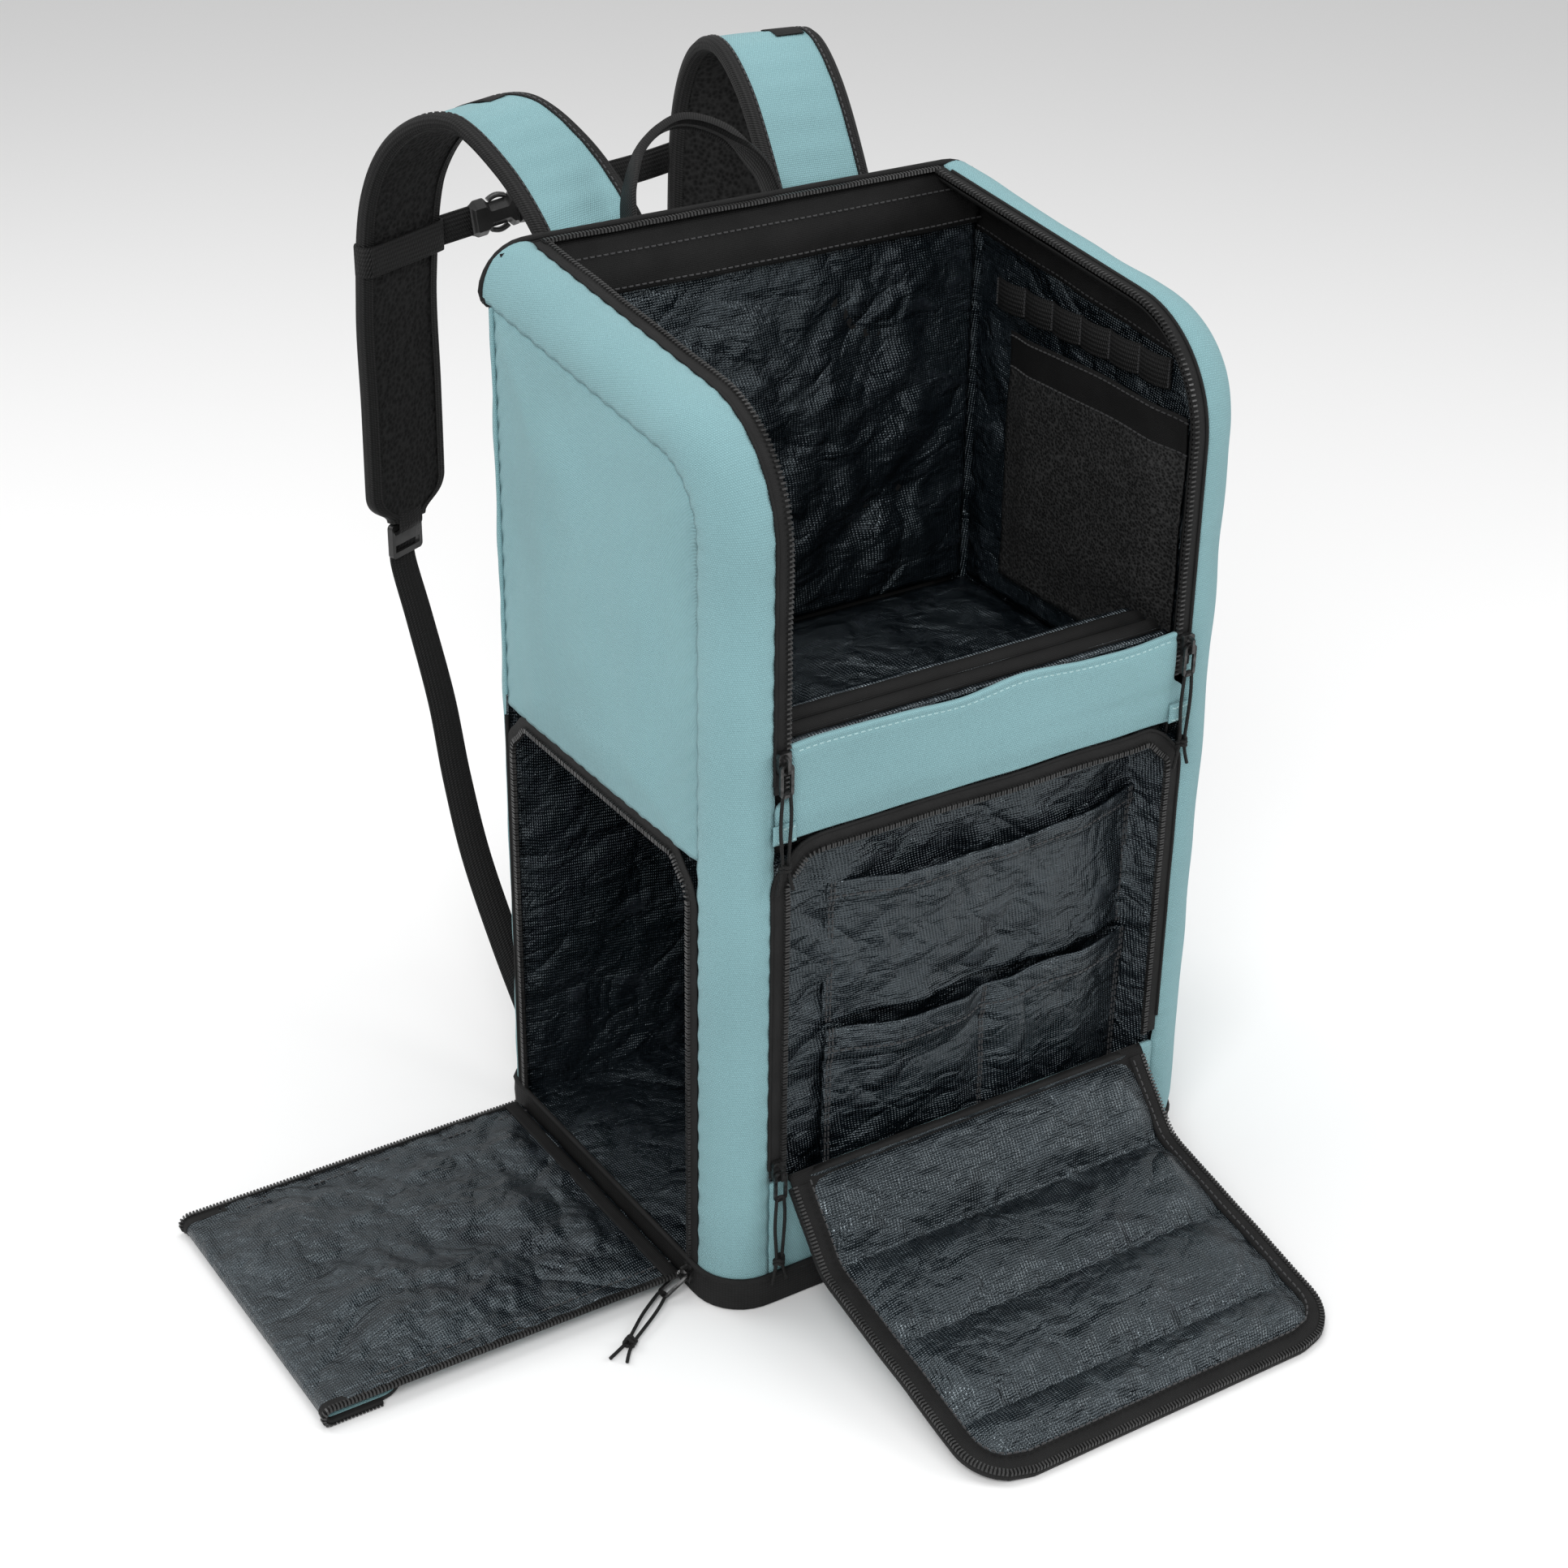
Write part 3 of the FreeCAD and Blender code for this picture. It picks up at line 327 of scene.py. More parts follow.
def new_piece(name, points, faces, coordinates, materials, paint=None, smooth_angle=50.0):
    """A mesh object; coordinates holds one (u, v) in metres for each corner of each face."""
    mesh = bpy.data.meshes.new(name)
    mesh.from_pydata([tuple(point) for point in points], [], faces)
    layer = mesh.uv_layers.new(name="UVMap")
    flat = [number for corner in coordinates for number in corner]
    layer.data.foreach_set("uv", flat)
    for key in materials:
        mesh.materials.append(MATERIALS[key])
    if paint:
        mesh.polygons.foreach_set("material_index", paint)
    mesh.shade_smooth()
    mesh.set_sharp_from_angle(angle=math.radians(smooth_angle))
    item = bpy.data.objects.new(name, mesh)
    bpy.context.scene.collection.objects.link(item)
    return item


def sweep(name, stations, section, materials, paint=None, closed=True, loop=False, angle=50.0):
    """Carries a section along stations.  A station is (origin, across, up); the section is a
    list of (across, up) offsets, or a function of the station's share of the way."""
    last = len(stations) - 1
    rings = [section(index / last) if callable(section) else section
             for index in range(len(stations))]
    count = len(rings[0])
    points = [origin + across * a + up * b
              for (origin, across, up), ring in zip(stations, rings) for a, b in ring]
    girth = [0.0]
    for (a, b), (c, d) in zip(rings[0], rings[0][1:] + rings[0][:1]):
        girth.append(girth[-1] + math.hypot(c - a, d - b))
    run = [0.0]
    for before, after in zip(stations, stations[1:]):
        run.append(run[-1] + (after[0] - before[0]).length)
    if loop:
        run.append(run[-1] + (stations[0][0] - stations[-1][0]).length)
    faces, coordinates, painted = [], [], []
    segments = count if closed else count - 1
    for k in range(len(stations) if loop else last):
        following = (k + 1) % len(stations)
        for i in range(segments):
            j = (i + 1) % count
            faces.append((k * count + i, following * count + i, following * count + j, k * count + j))
            coordinates += [(girth[i], run[k]), (girth[i], run[k + 1]),
                            (girth[i + 1], run[k + 1]), (girth[i + 1], run[k])]
            painted.append(paint[i] if paint else 0)
    if closed and not loop:
        faces.append(tuple(range(count)))
        faces.append(tuple(last * count + i for i in reversed(range(count))))
        for ring in (rings[0], rings[-1][::-1]):
            coordinates += [(a, b) for a, b in ring]
            painted.append(paint[0] if paint else 0)
    return new_piece(name, points, faces, coordinates, materials, painted, angle)


def grid(name, surface, across, along, materials, flip=False, paint=None, angle=60.0):
    """A sheet: surface(u, v) for u and v from 0 to 1, with UVs in metres."""
    rows = [[surface(i / across, j / along) for i in range(across + 1)] for j in range(along + 1)]
    points = [point for row in rows for point in row]
    middle_row, middle = rows[along // 2], across // 2
    wide, tall = [0.0], [0.0]
    for before, after in zip(middle_row, middle_row[1:]):
        wide.append(wide[-1] + (after - before).length)
    for before, after in zip(rows, rows[1:]):
        tall.append(tall[-1] + (after[middle] - before[middle]).length)
    faces, coordinates, painted = [], [], []
    for j in range(along):
        for i in range(across):
            start = j * (across + 1) + i
            corners = [(start, (i, j)), (start + 1, (i + 1, j)),
                       (start + across + 2, (i + 1, j + 1)), (start + across + 1, (i, j + 1))]
            if flip:
                corners.reverse()
            faces.append(tuple(corner[0] for corner in corners))
            coordinates += [(wide[a], tall[b]) for _, (a, b) in corners]
            painted.append(paint(i / across, j / along) if paint else 0)
    return new_piece(name, points, faces, coordinates, materials, painted, angle)


def thicken(piece, thick):
    change = piece.modifiers.new("thickness", "SOLIDIFY")
    change.thickness = thick
    change.offset = -1.0
    return piece


def soften(piece):
    change = piece.modifiers.new("rounding", "SUBSURF")
    change.levels = change.render_levels = 1
    return piece


def attach(piece, body, slot, *nodes):
    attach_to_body(piece, body)
    if nodes:
        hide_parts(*nodes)
    return piece


def ripple(point, scale, seed=0.0):
    return noise.noise(Vector(point) * scale + Vector((seed, seed * 1.7, -seed)))


def crumple(point, scale, seed=0.0):
    """Sharp creases between soft humps, from 0 to about 1."""
    first = abs(ripple(point, scale, seed))
    second = abs(ripple(point, scale * 2.3, seed + 5.1))
    third = abs(ripple(point, scale * 5.1, seed + 9.7))
    return 1.6 * (first + 0.5 * second + 0.25 * third)


def smooth_step(x, low, high):
    share = min(max((x - low) / (high - low), 0.0), 1.0)
    return share * share * (3 - 2 * share)


def resample(points, step):
    """Evenly spaced (point, direction) pairs along a list of points."""
    found = []
    travelled, due = 0.0, step / 2
    for before, after in zip(points, points[1:]):
        long = (after - before).length
        while long > 0 and due <= travelled + long:
            share = (due - travelled) / long
            found.append((before.lerp(after, share), (after - before).normalized()))
            due += step
        travelled += long
    return found


def even_path(points, step):
    return [point for point, _ in resample(points, step)]


def smooth_line(points, steps):
    """A smooth curve through the given points."""
    vectors = [Vector(point) for point in points]
    padded = [2 * vectors[0] - vectors[1]] + vectors + [2 * vectors[-1] - vectors[-2]]
    line = []
    for a, b, c, d in zip(padded, padded[1:], padded[2:], padded[3:]):
        for index in range(steps):
            s = index / steps
            line.append(0.5 * (2 * b + (c - a) * s + (2 * a - 5 * b + 4 * c - d) * s ** 2
                               + (3 * b - a - 3 * c + d) * s ** 3))
    line.append(vectors[-1])
    return line


def tube_section(radius, sides):
    turns = [2 * math.pi * index / sides for index in range(sides)]
    return [(radius * math.cos(turn), radius * math.sin(turn)) for turn in turns]


def strip_section(wide, thick, round_edge=0.3):
    """A flat strip with eased edges, around its middle line."""
    half, high = wide / 2, thick / 2
    ease = min(half, high) * round_edge * 2
    return [(-half, -high + ease), (-half + ease, -high), (half - ease, -high), (half, -high + ease),
            (half, high - ease), (half - ease, high), (-half + ease, high), (-half, high - ease)]


def frames_along(points, up_hint):
    """Stations for a path whose upper side faces up_hint, a vector or one for each point."""
    stations = []
    for index, point in enumerate(points):
        ahead = points[min(index + 1, len(points) - 1)] - points[max(index - 1, 0)]
        ahead.normalize()
        hint = up_hint[index] if isinstance(up_hint, list) else up_hint
        across = ahead.cross(hint).normalized()
        stations.append((point, across, across.cross(ahead).normalized()))
    return stations


BLOCK_FACES = ((0, 3, 2, 1), (4, 5, 6, 7), (0, 1, 5, 4), (1, 2, 6, 5), (2, 3, 7, 6), (3, 0, 4, 7))


def small_blocks(name, places, size, materials, taper=0.75):
    """Many small blocks in one mesh; a place is (middle, along, across, up)."""
    half = [part / 2 for part in size]
    points, faces = [], []
    for middle, along, across, up in places:
        start = len(points)
        for level, share in ((-1, 1.0), (1, taper)):
            for a, b in ((-1, -1), (1, -1), (1, 1), (-1, 1)):
                points.append(middle + along * (half[0] * a * share)
                              + across * (half[1] * b * share) + up * (half[2] * level))
        for face in BLOCK_FACES:
            faces.append(tuple(start + corner for corner in face))
    coordinates = [(0.0, 0.0)] * (4 * len(faces))
    return new_piece(name, points, faces, coordinates, materials, None, 30.0)


TOOTH_PITCH = 0.0023
STITCH_PITCH = 0.0046
STITCH_SHARE = 0.72                     # how much of its pitch a stitch covers


def zip_teeth(name, points, ups, body):
    """The coil of one half of a zip: a tooth every TOOTH_PITCH along the points."""
    places = []
    up_at = ups if isinstance(ups, list) else [ups] * len(points)
    for before, after, up in zip(points, points[1:], up_at):
        for middle, along in resample([before, after], TOOTH_PITCH):
            across = along.cross(up).normalized()
            places.append((middle, along, across, up))
    teeth = small_blocks(name, places, (0.0015, 0.0042, 0.0022), ["coil"])
    return attach(teeth, body, "zip_tape")


def stitches(name, points, up, body="bag", thread="thread_black", slot="lining",
             pitch=STITCH_PITCH, lift=0.0003):
    """Sewn stitches as short threads that dip into the cloth at their ends."""
    places = []
    for middle, along in resample(points, pitch):
        hint = up(middle) if callable(up) else up
        across = along.cross(hint).normalized()
        places.append((middle + hint * lift, along, across, hint))
    size = (pitch * STITCH_SHARE, 0.0008, 0.0009)
    runs = small_blocks(name, places, size, [thread], taper=0.8)
    return attach(runs, body, slot)


# ---------------------------------------------------------------- shape of the bag

HALF_WIDE, HALF_DEEP = 0.180, 0.137
BASE_TOP = 0.004
FRONT_TOP = 0.5035                      # where the upright front turns into the crown
CROWN_Y, CROWN_RADIUS = -0.062, 0.075
SLOPE = math.radians(6)                 # the top rises towards the back
CORNER = 0.030
SEAM_INSET = 0.032                      # the side panels start this far from the front
TAPE_OUTER, TAPE_INNER = 0.147, 0.138   # edges of the zip tape, from the middle
BACK_Y = 0.137
REAR_CORNER = 0.0135                    # radius of the corners between the sides and the back
REAR_SEAM_Y = 0.1235                    # the side panels end here
DIVIDER_Z = 0.309                       # the boot room is below, the main room above
BOOT_OPENING_X = -0.1796

FRONT_LONG = FRONT_TOP - BASE_TOP
ARC_LONG = CROWN_RADIUS * (math.pi / 2 - SLOPE)
TOP_START = Vector((0, CROWN_Y - CROWN_RADIUS * math.sin(SLOPE),
                    FRONT_TOP + CROWN_RADIUS * math.cos(SLOPE)))
TOP_LONG = (BACK_Y - TOP_START.y) / math.cos(SLOPE)
WHOLE_LONG = FRONT_LONG + ARC_LONG + TOP_LONG


def crown(run):
    """A point on the bag's outline, run metres from the base up the front, and its outward
    direction."""
    if run <= FRONT_LONG:
        return Vector((0, -HALF_DEEP, BASE_TOP + run)), FORWARD.copy()
    run -= FRONT_LONG
    if run <= ARC_LONG:
        turn = run / CROWN_RADIUS
        out = Vector((0, -math.cos(turn), math.sin(turn)))
        return Vector((0, CROWN_Y, FRONT_TOP)) + out * CROWN_RADIUS, out
    run -= ARC_LONG
    along = Vector((0, math.cos(SLOPE), math.sin(SLOPE)))
    return TOP_START + along * run, Vector((0, -math.sin(SLOPE), math.cos(SLOPE)))


def corner_point(side, share, run, swell=0.0):
    """On the rounded corner between a side panel (share 0) and the zip (share 1)."""
    point, out = crown(run)
    flat = SEAM_INSET - CORNER
    arc = CORNER * math.pi / 2
    travel = share * (flat + arc + HALF_WIDE - TAPE_OUTER - CORNER)
    if travel < flat:
        away, inset = 0.0, SEAM_INSET - travel
        normal = Vector((side, 0, 0))
    elif travel < flat + arc:
        turn = (travel - flat) / CORNER
        away, inset = CORNER * (1 - math.cos(turn)), CORNER * (1 - math.sin(turn))
        normal = Vector((side * math.cos(turn), 0, 0)) + out * math.sin(turn)
    else:
        away, inset = CORNER + travel - flat - arc, 0.0
        normal = out.copy()
    return Vector((side * (HALF_WIDE - away), 0, 0)) + point - out * inset + normal * swell, normal


def tape_point(side, run, across, inset):
    point, out = crown(run)
    return Vector((side * across, 0, 0)) + point - out * inset


def side_top(y):
    """Height of a side panel's top seam at depth y."""
    radius = CROWN_RADIUS - SEAM_INSET
    start = CROWN_Y - radius * math.sin(SLOPE)
    if y < start:
        return FRONT_TOP + math.sqrt(max(radius ** 2 - (y - CROWN_Y) ** 2, 0.0))
    return FRONT_TOP + radius * math.cos(SLOPE) + (y - start) * math.tan(SLOPE)


# ---------------------------------------------------------------- pull cords

PULL_ROUTE = [(-5.3, -63.0), (-3.4, -54.5), (-1.8, -46.0), (-2.6, -35.0), (-3.6, -22.0), (-3.3, -11.5),
              (-2.8, -4.2), (-2.5, 1.9), (2.5, 2.1), (3.0, -4.0), (3.5, -11.0), (3.3, -21.5),
              (2.4, -34.0), (1.6, -45.5), (2.9, -54.5), (5.4, -62.0)]
CORD_THICK = 0.0022


def turned(yaw, lean):
    """Rotation of a pull: it leans out from hanging straight down, then turns to its side."""
    return (Matrix.Rotation(math.radians(yaw), 3, "Z") @ Matrix.Rotation(math.radians(lean), 3, "X"))


PULLS = {
    "main_left": ((-0.1437, -0.1429, 0.359), turned(0, 0), "hanging"),
    "main_right": ((0.1437, -0.1429, 0.359), turned(0, 0), "hanging"),
    "pocket": ((-0.1437, -0.1429, 0.081), turned(0, 0), "hanging"),
    "door": ((-0.2024, -0.101, 0.0045), turned(-55, -87), "loose"),
}


def make_cord(name, origin, turn, lay):
    origin = Vector(origin)
    route = [origin + turn @ Vector((across, 0, along)) / 1000 for across, along in PULL_ROUTE]
    curve = bpy.data.curves.new(name + "_braid", "CURVE")
    curve.dimensions = "3D"
    curve.bevel_depth = CORD_THICK / 2
    curve.bevel_resolution = 3
    curve.use_fill_caps = True
    line = curve.splines.new("NURBS")
    line.points.add(len(route) - 1)
    for point, place in zip(line.points, route):
        point.co = (*place, 1)
    line.order_u = 3
    line.use_endpoint_u = True
    line.resolution_u = 6
    curve.materials.append(MATERIALS["cord"])
    cord = bpy.data.objects.new(name + "_braid", curve)
    bpy.context.scene.collection.objects.link(cord)
    body = name + "_ring"
    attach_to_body(cord, body)
    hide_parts(name + "_cord")
    knot = make_knot(name, origin, turn)
    tuple(route[0])


def make_knot(name, origin, turn):
    """An overhand knot: a thick cord wound round both strands, where they meet."""
    middle = Vector((0, 0, -0.0465))
    line = []
    for index in range(61):
        wind = index / 60
        angle = 2 * math.pi * 2.2 * wind
        radius = 0.0027 + 0.0005 * math.sin(3 * angle)
        line.append(middle + Vector((radius * math.cos(angle), 0.85 * radius * math.sin(angle),
                                     0.0052 * (wind - 0.5) + 0.0006 * math.sin(2 * angle))))
    placed = [origin + turn @ point for point in line]
    lift = max(0.0, CORD_THICK * 0.6 - min(point.z for point in placed))
    placed = [point + Vector((0, 0, lift)) for point in placed]
    stations = frames_along(placed, turn @ Vector((0, 0, 1)))
    knot = sweep(name + "_knot", stations, tube_section(CORD_THICK * 0.56, 8), ["cord"])
    return attach(knot, name + "_ring", "pull_cord")


make_camera()
for pull, (low_bar, turn, lay) in PULLS.items():
    make_cord(pull, low_bar, turn, lay)


# ---------------------------------------------------------------- shell of the bag

def line_lining(piece, thick, inner, rim=None):
    """Gives a sheet thickness, with another cloth inside and, if asked, on its edges."""
    slots = [slot.material for slot in piece.material_slots]
    for key in (inner, rim or inner):
        if MATERIALS[key] not in slots:
            piece.data.materials.append(MATERIALS[key])
            slots.append(MATERIALS[key])
    change = piece.modifiers.new("lining", "SOLIDIFY")
    change.thickness = thick
    change.offset = -1.0
    change.material_offset = slots.index(MATERIALS[inner])
    change.material_offset_rim = slots.index(MATERIALS[rim or inner])
    return piece


def pucker(along, pitch, depth, seed=0.0):
    """The small gathers that a tight seam makes in the cloth beside it."""
    drift = 3 * noise.noise(Vector((along * 20, seed, 0)))
    return depth * (0.5 + 0.5 * math.sin(2 * math.pi * along / pitch + drift))


def make_gusset(side, word):
    def surface(u, v):
        run = v * (WHOLE_LONG - 0.001)
        hill = min(u, 1 - u) * 2
        swell = 0.0026 * math.sqrt(max(hill, 0)) - 0.0008
        swell -= pucker(run, 0.016, 0.0009, side) * (1 - smooth_step(hill, 0.0, 0.45))
        point, _ = corner_point(side, u, run)
        swell += 0.0016 * ripple(point, 22, side * 3.0) * smooth_step(hill, 0.0, 0.4)
        swell *= smooth_step(run, 0.008, 0.035)
        return corner_point(side, u, run, swell)[0]

    piece = grid("gusset_" + word, surface, 14, 240, ["teal"], flip=side > 0)
    line_lining(piece, 0.003, "facing")
    return attach(piece, "bag", "teal_fabric", "front_gusset_" + word)


def make_side(side, word, low):
    front, rear = -HALF_DEEP + SEAM_INSET, REAR_SEAM_Y

    def surface(u, v):
        y = front + (rear - front) * (1 - math.cos(math.pi * u)) / 2
        high = side_top(y)
        z = low + (high - low) * v
        edge = min(y - front, rear - y, high - z, (z - low) * 1.5 + 0.012)
        bulge = 0.007 * smooth_step(edge, 0, 0.07) - 0.001 * (1 - smooth_step(edge, 0, 0.008))
        wave = 0.0028 * ripple((0, y, z), 13, side) + 0.0012 * ripple((0, y, z * 0.6), 38, side)
        along = pucker(y + z, 0.015, 0.0009, side) * (1 - smooth_step(edge, 0.002, 0.022))
        foot = smooth_step(z - BASE_TOP, 0.016, 0.050)
        out = (bulge + wave * smooth_step(edge, 0, 0.03)) * foot - along
        return Vector((side * (HALF_WIDE + out), y, z))

    piece = grid("side_" + word, surface, 64, 72 if low > 0.1 else 110, ["teal"], flip=side < 0)
    line_lining(piece, 0.0035, "lining", "teal")
    return attach(piece, "bag", "teal_fabric", "side_panel_" + word)


def make_seam_cord(name, points, radius, cloth, slot="teal_fabric", up=Z_AXIS):
    """A piped or bound seam that stands a little proud."""
    line = smooth_line(even_path(points, 0.012), 2) if len(points) > 3 else points
    cord = sweep(name, frames_along(line, up), tube_section(radius, 8), [cloth])
    return attach(cord, "bag", slot)


def make_rear_corner(side, word):
    tall = 0.562

    def surface(u, v):
        turn = u * math.pi / 2
        z = BASE_TOP + v * tall
        soft = 0.001 * ripple((side, turn * 0.1, z), 30)
        return Vector((side * (HALF_WIDE - REAR_CORNER + (REAR_CORNER + soft) * math.cos(turn)),
                       BACK_Y - REAR_CORNER + (REAR_CORNER + soft) * math.sin(turn), z))

    piece = grid("rear_corner_" + word, surface, 8, 90, ["teal"], flip=side < 0)
    line_lining(piece, 0.0025, "lining")
    return attach(piece, "bag", "teal_fabric", *(["rear_corners"] if side < 0 else []))


def make_rear_seams():
    """A teal piped seam closes each rear edge, between the side panel and the corner."""
    foot, high = BASE_TOP + 0.014, side_top(REAR_SEAM_Y) + 0.004

    def upright(side, low, high):
        return [Vector((-side * BOOT_OPENING_X, REAR_SEAM_Y, low + (high - low) * i / 30))
                for i in range(31)]

    for side, word, low in ((-1, "left", DIVIDER_Z), (1, "right", foot)):
        make_seam_cord("rear_seam_" + word, upright(side, low, high), 0.0013, "teal",
                       up=Vector((side, 0, 0)))
    make_seam_cord("rear_seam_boot", upright(-1, foot, DIVIDER_Z), 0.0016, "black", up=LEFTWARD)


def make_back():
    top = TOP_START.z + TOP_LONG * math.sin(SLOPE)
    shoulder = top - CORNER

    def half(z):
        if z > shoulder:
            return HALF_WIDE - CORNER + math.sqrt(max(CORNER ** 2 - (z - shoulder) ** 2, 0))
        return HALF_WIDE - REAR_CORNER if z < 0.565 else HALF_WIDE

    def surface(u, v):
        z = BASE_TOP + (top - 0.0008 - BASE_TOP) * v
        x = (2 * u - 1) * half(z)
        edge = min(half(z) - abs(x), z - BASE_TOP, top - z)
        y = BACK_Y - 0.002 + 0.002 * smooth_step(edge, 0, 0.02) + 0.0012 * ripple((x, 0, z), 16)
        y -= pucker(x + z, 0.017, 0.0008) * (1 - smooth_step(edge, 0.003, 0.02))
        return Vector((x, y, z))

    piece = grid("back_cloth", surface, 60, 110, ["black"], flip=True)
    thicken(piece, 0.003)
    attach(piece, "bag", "base_fabric", "back_panel")
    heights = [BASE_TOP + (0.5648 - BASE_TOP) * i / 30 for i in range(31)] + [0.5656, shoulder]
    rim = [Vector((-half(z), BACK_Y - 0.0015, z)) for z in heights]
    arc = [math.radians(90 * i / 8) for i in range(1, 9)]
    rim += [Vector((-(HALF_WIDE - CORNER) - CORNER * math.cos(a), BACK_Y - 0.0015,
                    shoulder + CORNER * math.sin(a))) for a in arc]
    rim += [Vector((-point.x, point.y, point.z)) for point in reversed(rim)]
    make_seam_cord("back_piping", rim, 0.0023, "black", slot="base_fabric", up=Y_AXIS)


def make_base():
    """The base binding runs round the bag's foot, with a piped edge."""
    ring = []
    for cx, cy, r, first in ((-1, -1, CORNER, 180), (1, -1, CORNER, 270),
                             (1, 1, REAR_CORNER, 0), (-1, 1, REAR_CORNER, 90)):
        for i in range(9):
            turn = math.radians(first + 90 * i / 8)
            ring.append(Vector((cx * (HALF_WIDE - r) + r * math.cos(turn),
                                cy * (HALF_DEEP - r) + r * math.sin(turn), 0)))
    line = even_path(ring + [ring[0]], 0.006)
    stations = []
    for index, point in enumerate(line):
        ahead = (line[(index + 1) % len(line)] - line[index - 1]).normalized()
        wave = 0.0007 * ripple(point, 40)
        stations.append((point + Vector((0, 0, 0.0112)), ahead.cross(Z_AXIS) * (1 + wave), Z_AXIS))
    band = sweep("base_binding", stations, [(-0.0012, -0.0105), (0.0022, -0.0108), (0.0028, 0.0),
                                            (0.0022, 0.0095), (-0.001, 0.0097)],
                 ["base"], loop=True)
    attach(band, "bag", "base_fabric")
    edge = [(origin + Vector((0, 0, 0.0100)) + across * 0.0014, across, up)
            for origin, across, up in stations]
    piping = sweep("base_piping", edge, tube_section(0.0019, 8), ["black"], loop=True)
    attach(piping, "bag", "base_fabric")


def hem_wave(x):
    return 0.0016 * math.sin(x * 46) + 0.0014 * ripple((x, 0, 0), 26)


def make_front_band():
    """Tall hem across the front, between the lid opening and the pocket."""
    low, high = 0.325, 0.386

    def surface(u, v):
        x = (2 * u - 1) * TAPE_OUTER
        if v > 0.36:
            x = (2 * u - 1) * (TAPE_OUTER - (TAPE_OUTER - TAPE_INNER) * smooth_step(v, 0.36, 0.5))
        z = low + (high + hem_wave(x) - low) * v
        edge = min(TAPE_OUTER - abs(x) + 0.004, z - low + 0.003, (1 - v) * 0.06 + 0.012)
        y = (-HALF_DEEP + 0.0006 - 0.0026 * smooth_step(edge, 0, 0.02)
             + 0.0018 * ripple((x, 0, z * 1.6), 21))
        y += 0.0013 * smooth_step(v, 0.90, 0.93) * (1 - smooth_step(v, 0.93, 0.97))
        return Vector((x, y, z))

    piece = grid("front_band_cloth", surface, 90, 30, ["teal"])
    line_lining(piece, 0.0045, "teal")
    soften(piece)
    attach(piece, "bag", "teal_fabric", "front_band")
    line = [surface(i / 60, 0.925) for i in range(1, 60)]
    stitches("band_stitches", line, FORWARD, "bag", "thread_light", "teal_fabric", lift=0.0002)


def make_band_tabs():
    """A folded teal tab closes the foot of each zip tail, held by two rows of light stitches."""
    for side, word in ((-1, "left"), (1, "right")):
        def surface(u, v, side=side):
            x = side * (0.1345 + 0.0155 * u)
            z = 0.3265 + 0.0125 * v
            edge = min(u, 1 - u, v, 1 - v)
            return Vector((x, -0.1398 - 0.0012 * smooth_step(edge, 0, 0.25),
                           z + 0.0006 * ripple((x, 0, z), 90)))

        tab = grid("zip_tab_" + word, surface, 12, 10, ["teal"], flip=side < 0)
        thicken(tab, 0.0014)
        attach(tab, "bag", "teal_fabric")
        for number, v in enumerate((0.18, 0.82)):
            line = [surface(0.08 + 0.84 * i / 8, v) for i in range(9)]
            stitches(f"zip_tab_stitches_{word}_{number}", line, FORWARD, "bag", "thread_light",
                     "teal_fabric", pitch=0.0030)


def make_skirt():
    low, high = BASE_TOP, 0.0885

    def surface(u, v):
        x = (2 * u - 1) * TAPE_OUTER
        z = low + (high - low) * v
        edge = min(TAPE_OUTER - abs(x) + 0.003, high - z + 0.002)
        hill = smooth_step(edge, 0, 0.03) * smooth_step(z - low, 0.014, 0.045)
        y = -HALF_DEEP + 0.0005 - 0.0032 * hill + 0.0012 * ripple((x, 0, z), 18) * (0.2 + hill)
        return Vector((x, y, z))

    piece = grid("skirt_cloth", surface, 70, 26, ["teal"])
    line_lining(piece, 0.0035, "lining", "teal")
    attach(piece, "bag", "teal_fabric", "front_skirt")


TAPE_THICK = 0.0014


def make_tape(name, stations, wide, *nodes):
    tape = sweep(name, stations, strip_section(wide, TAPE_THICK), ["tape"])
    return attach(tape, "bag", "zip_tape", *nodes)


def rounded_path(corners, place):
    """A smooth path past a list of (a, b) corners; place turns (a, b) into a point."""
    path = []
    for (a0, b0), (a1, b1) in zip(corners, corners[1:]):
        path += [place(a0 + (a1 - a0) * i / 20, b0 + (b1 - b0) * i / 20) for i in range(20)]
    path.append(place(*corners[-1]))
    return smooth_line(even_path(path, 0.012), 3)


def make_main_zip(side, word):
    start, end = 0.357 - BASE_TOP, WHOLE_LONG - 0.006
    count = 150
    stations, coil = [], []
    for index in range(count + 1):
        run = start + (end - start) * index / count
        sway = 0.0006 * ripple((side, run, 0), 30)
        middle = tape_point(side, run, (TAPE_OUTER + TAPE_INNER) / 2 + sway, 0.0012)
        stations.append((middle, Vector((side, 0, 0)), crown(run)[1]))
        coil.append(tape_point(side, run, TAPE_INNER + 0.0012 + sway, 0.0002))
    make_tape("main_tape_" + word, stations, 0.0092, "main_zip_" + word)
    zip_teeth("main_teeth_" + word, coil, [out for _, _, out in stations], "bag")
    binding = [tape_point(side, start + (end - start) * i / 90, TAPE_OUTER + 0.0006, 0.0004)
               for i in range(91)]
    make_seam_cord("main_binding_" + word, binding, 0.0011, "black", slot="zip_tape",
                   up=Vector((side, 0, 0)))


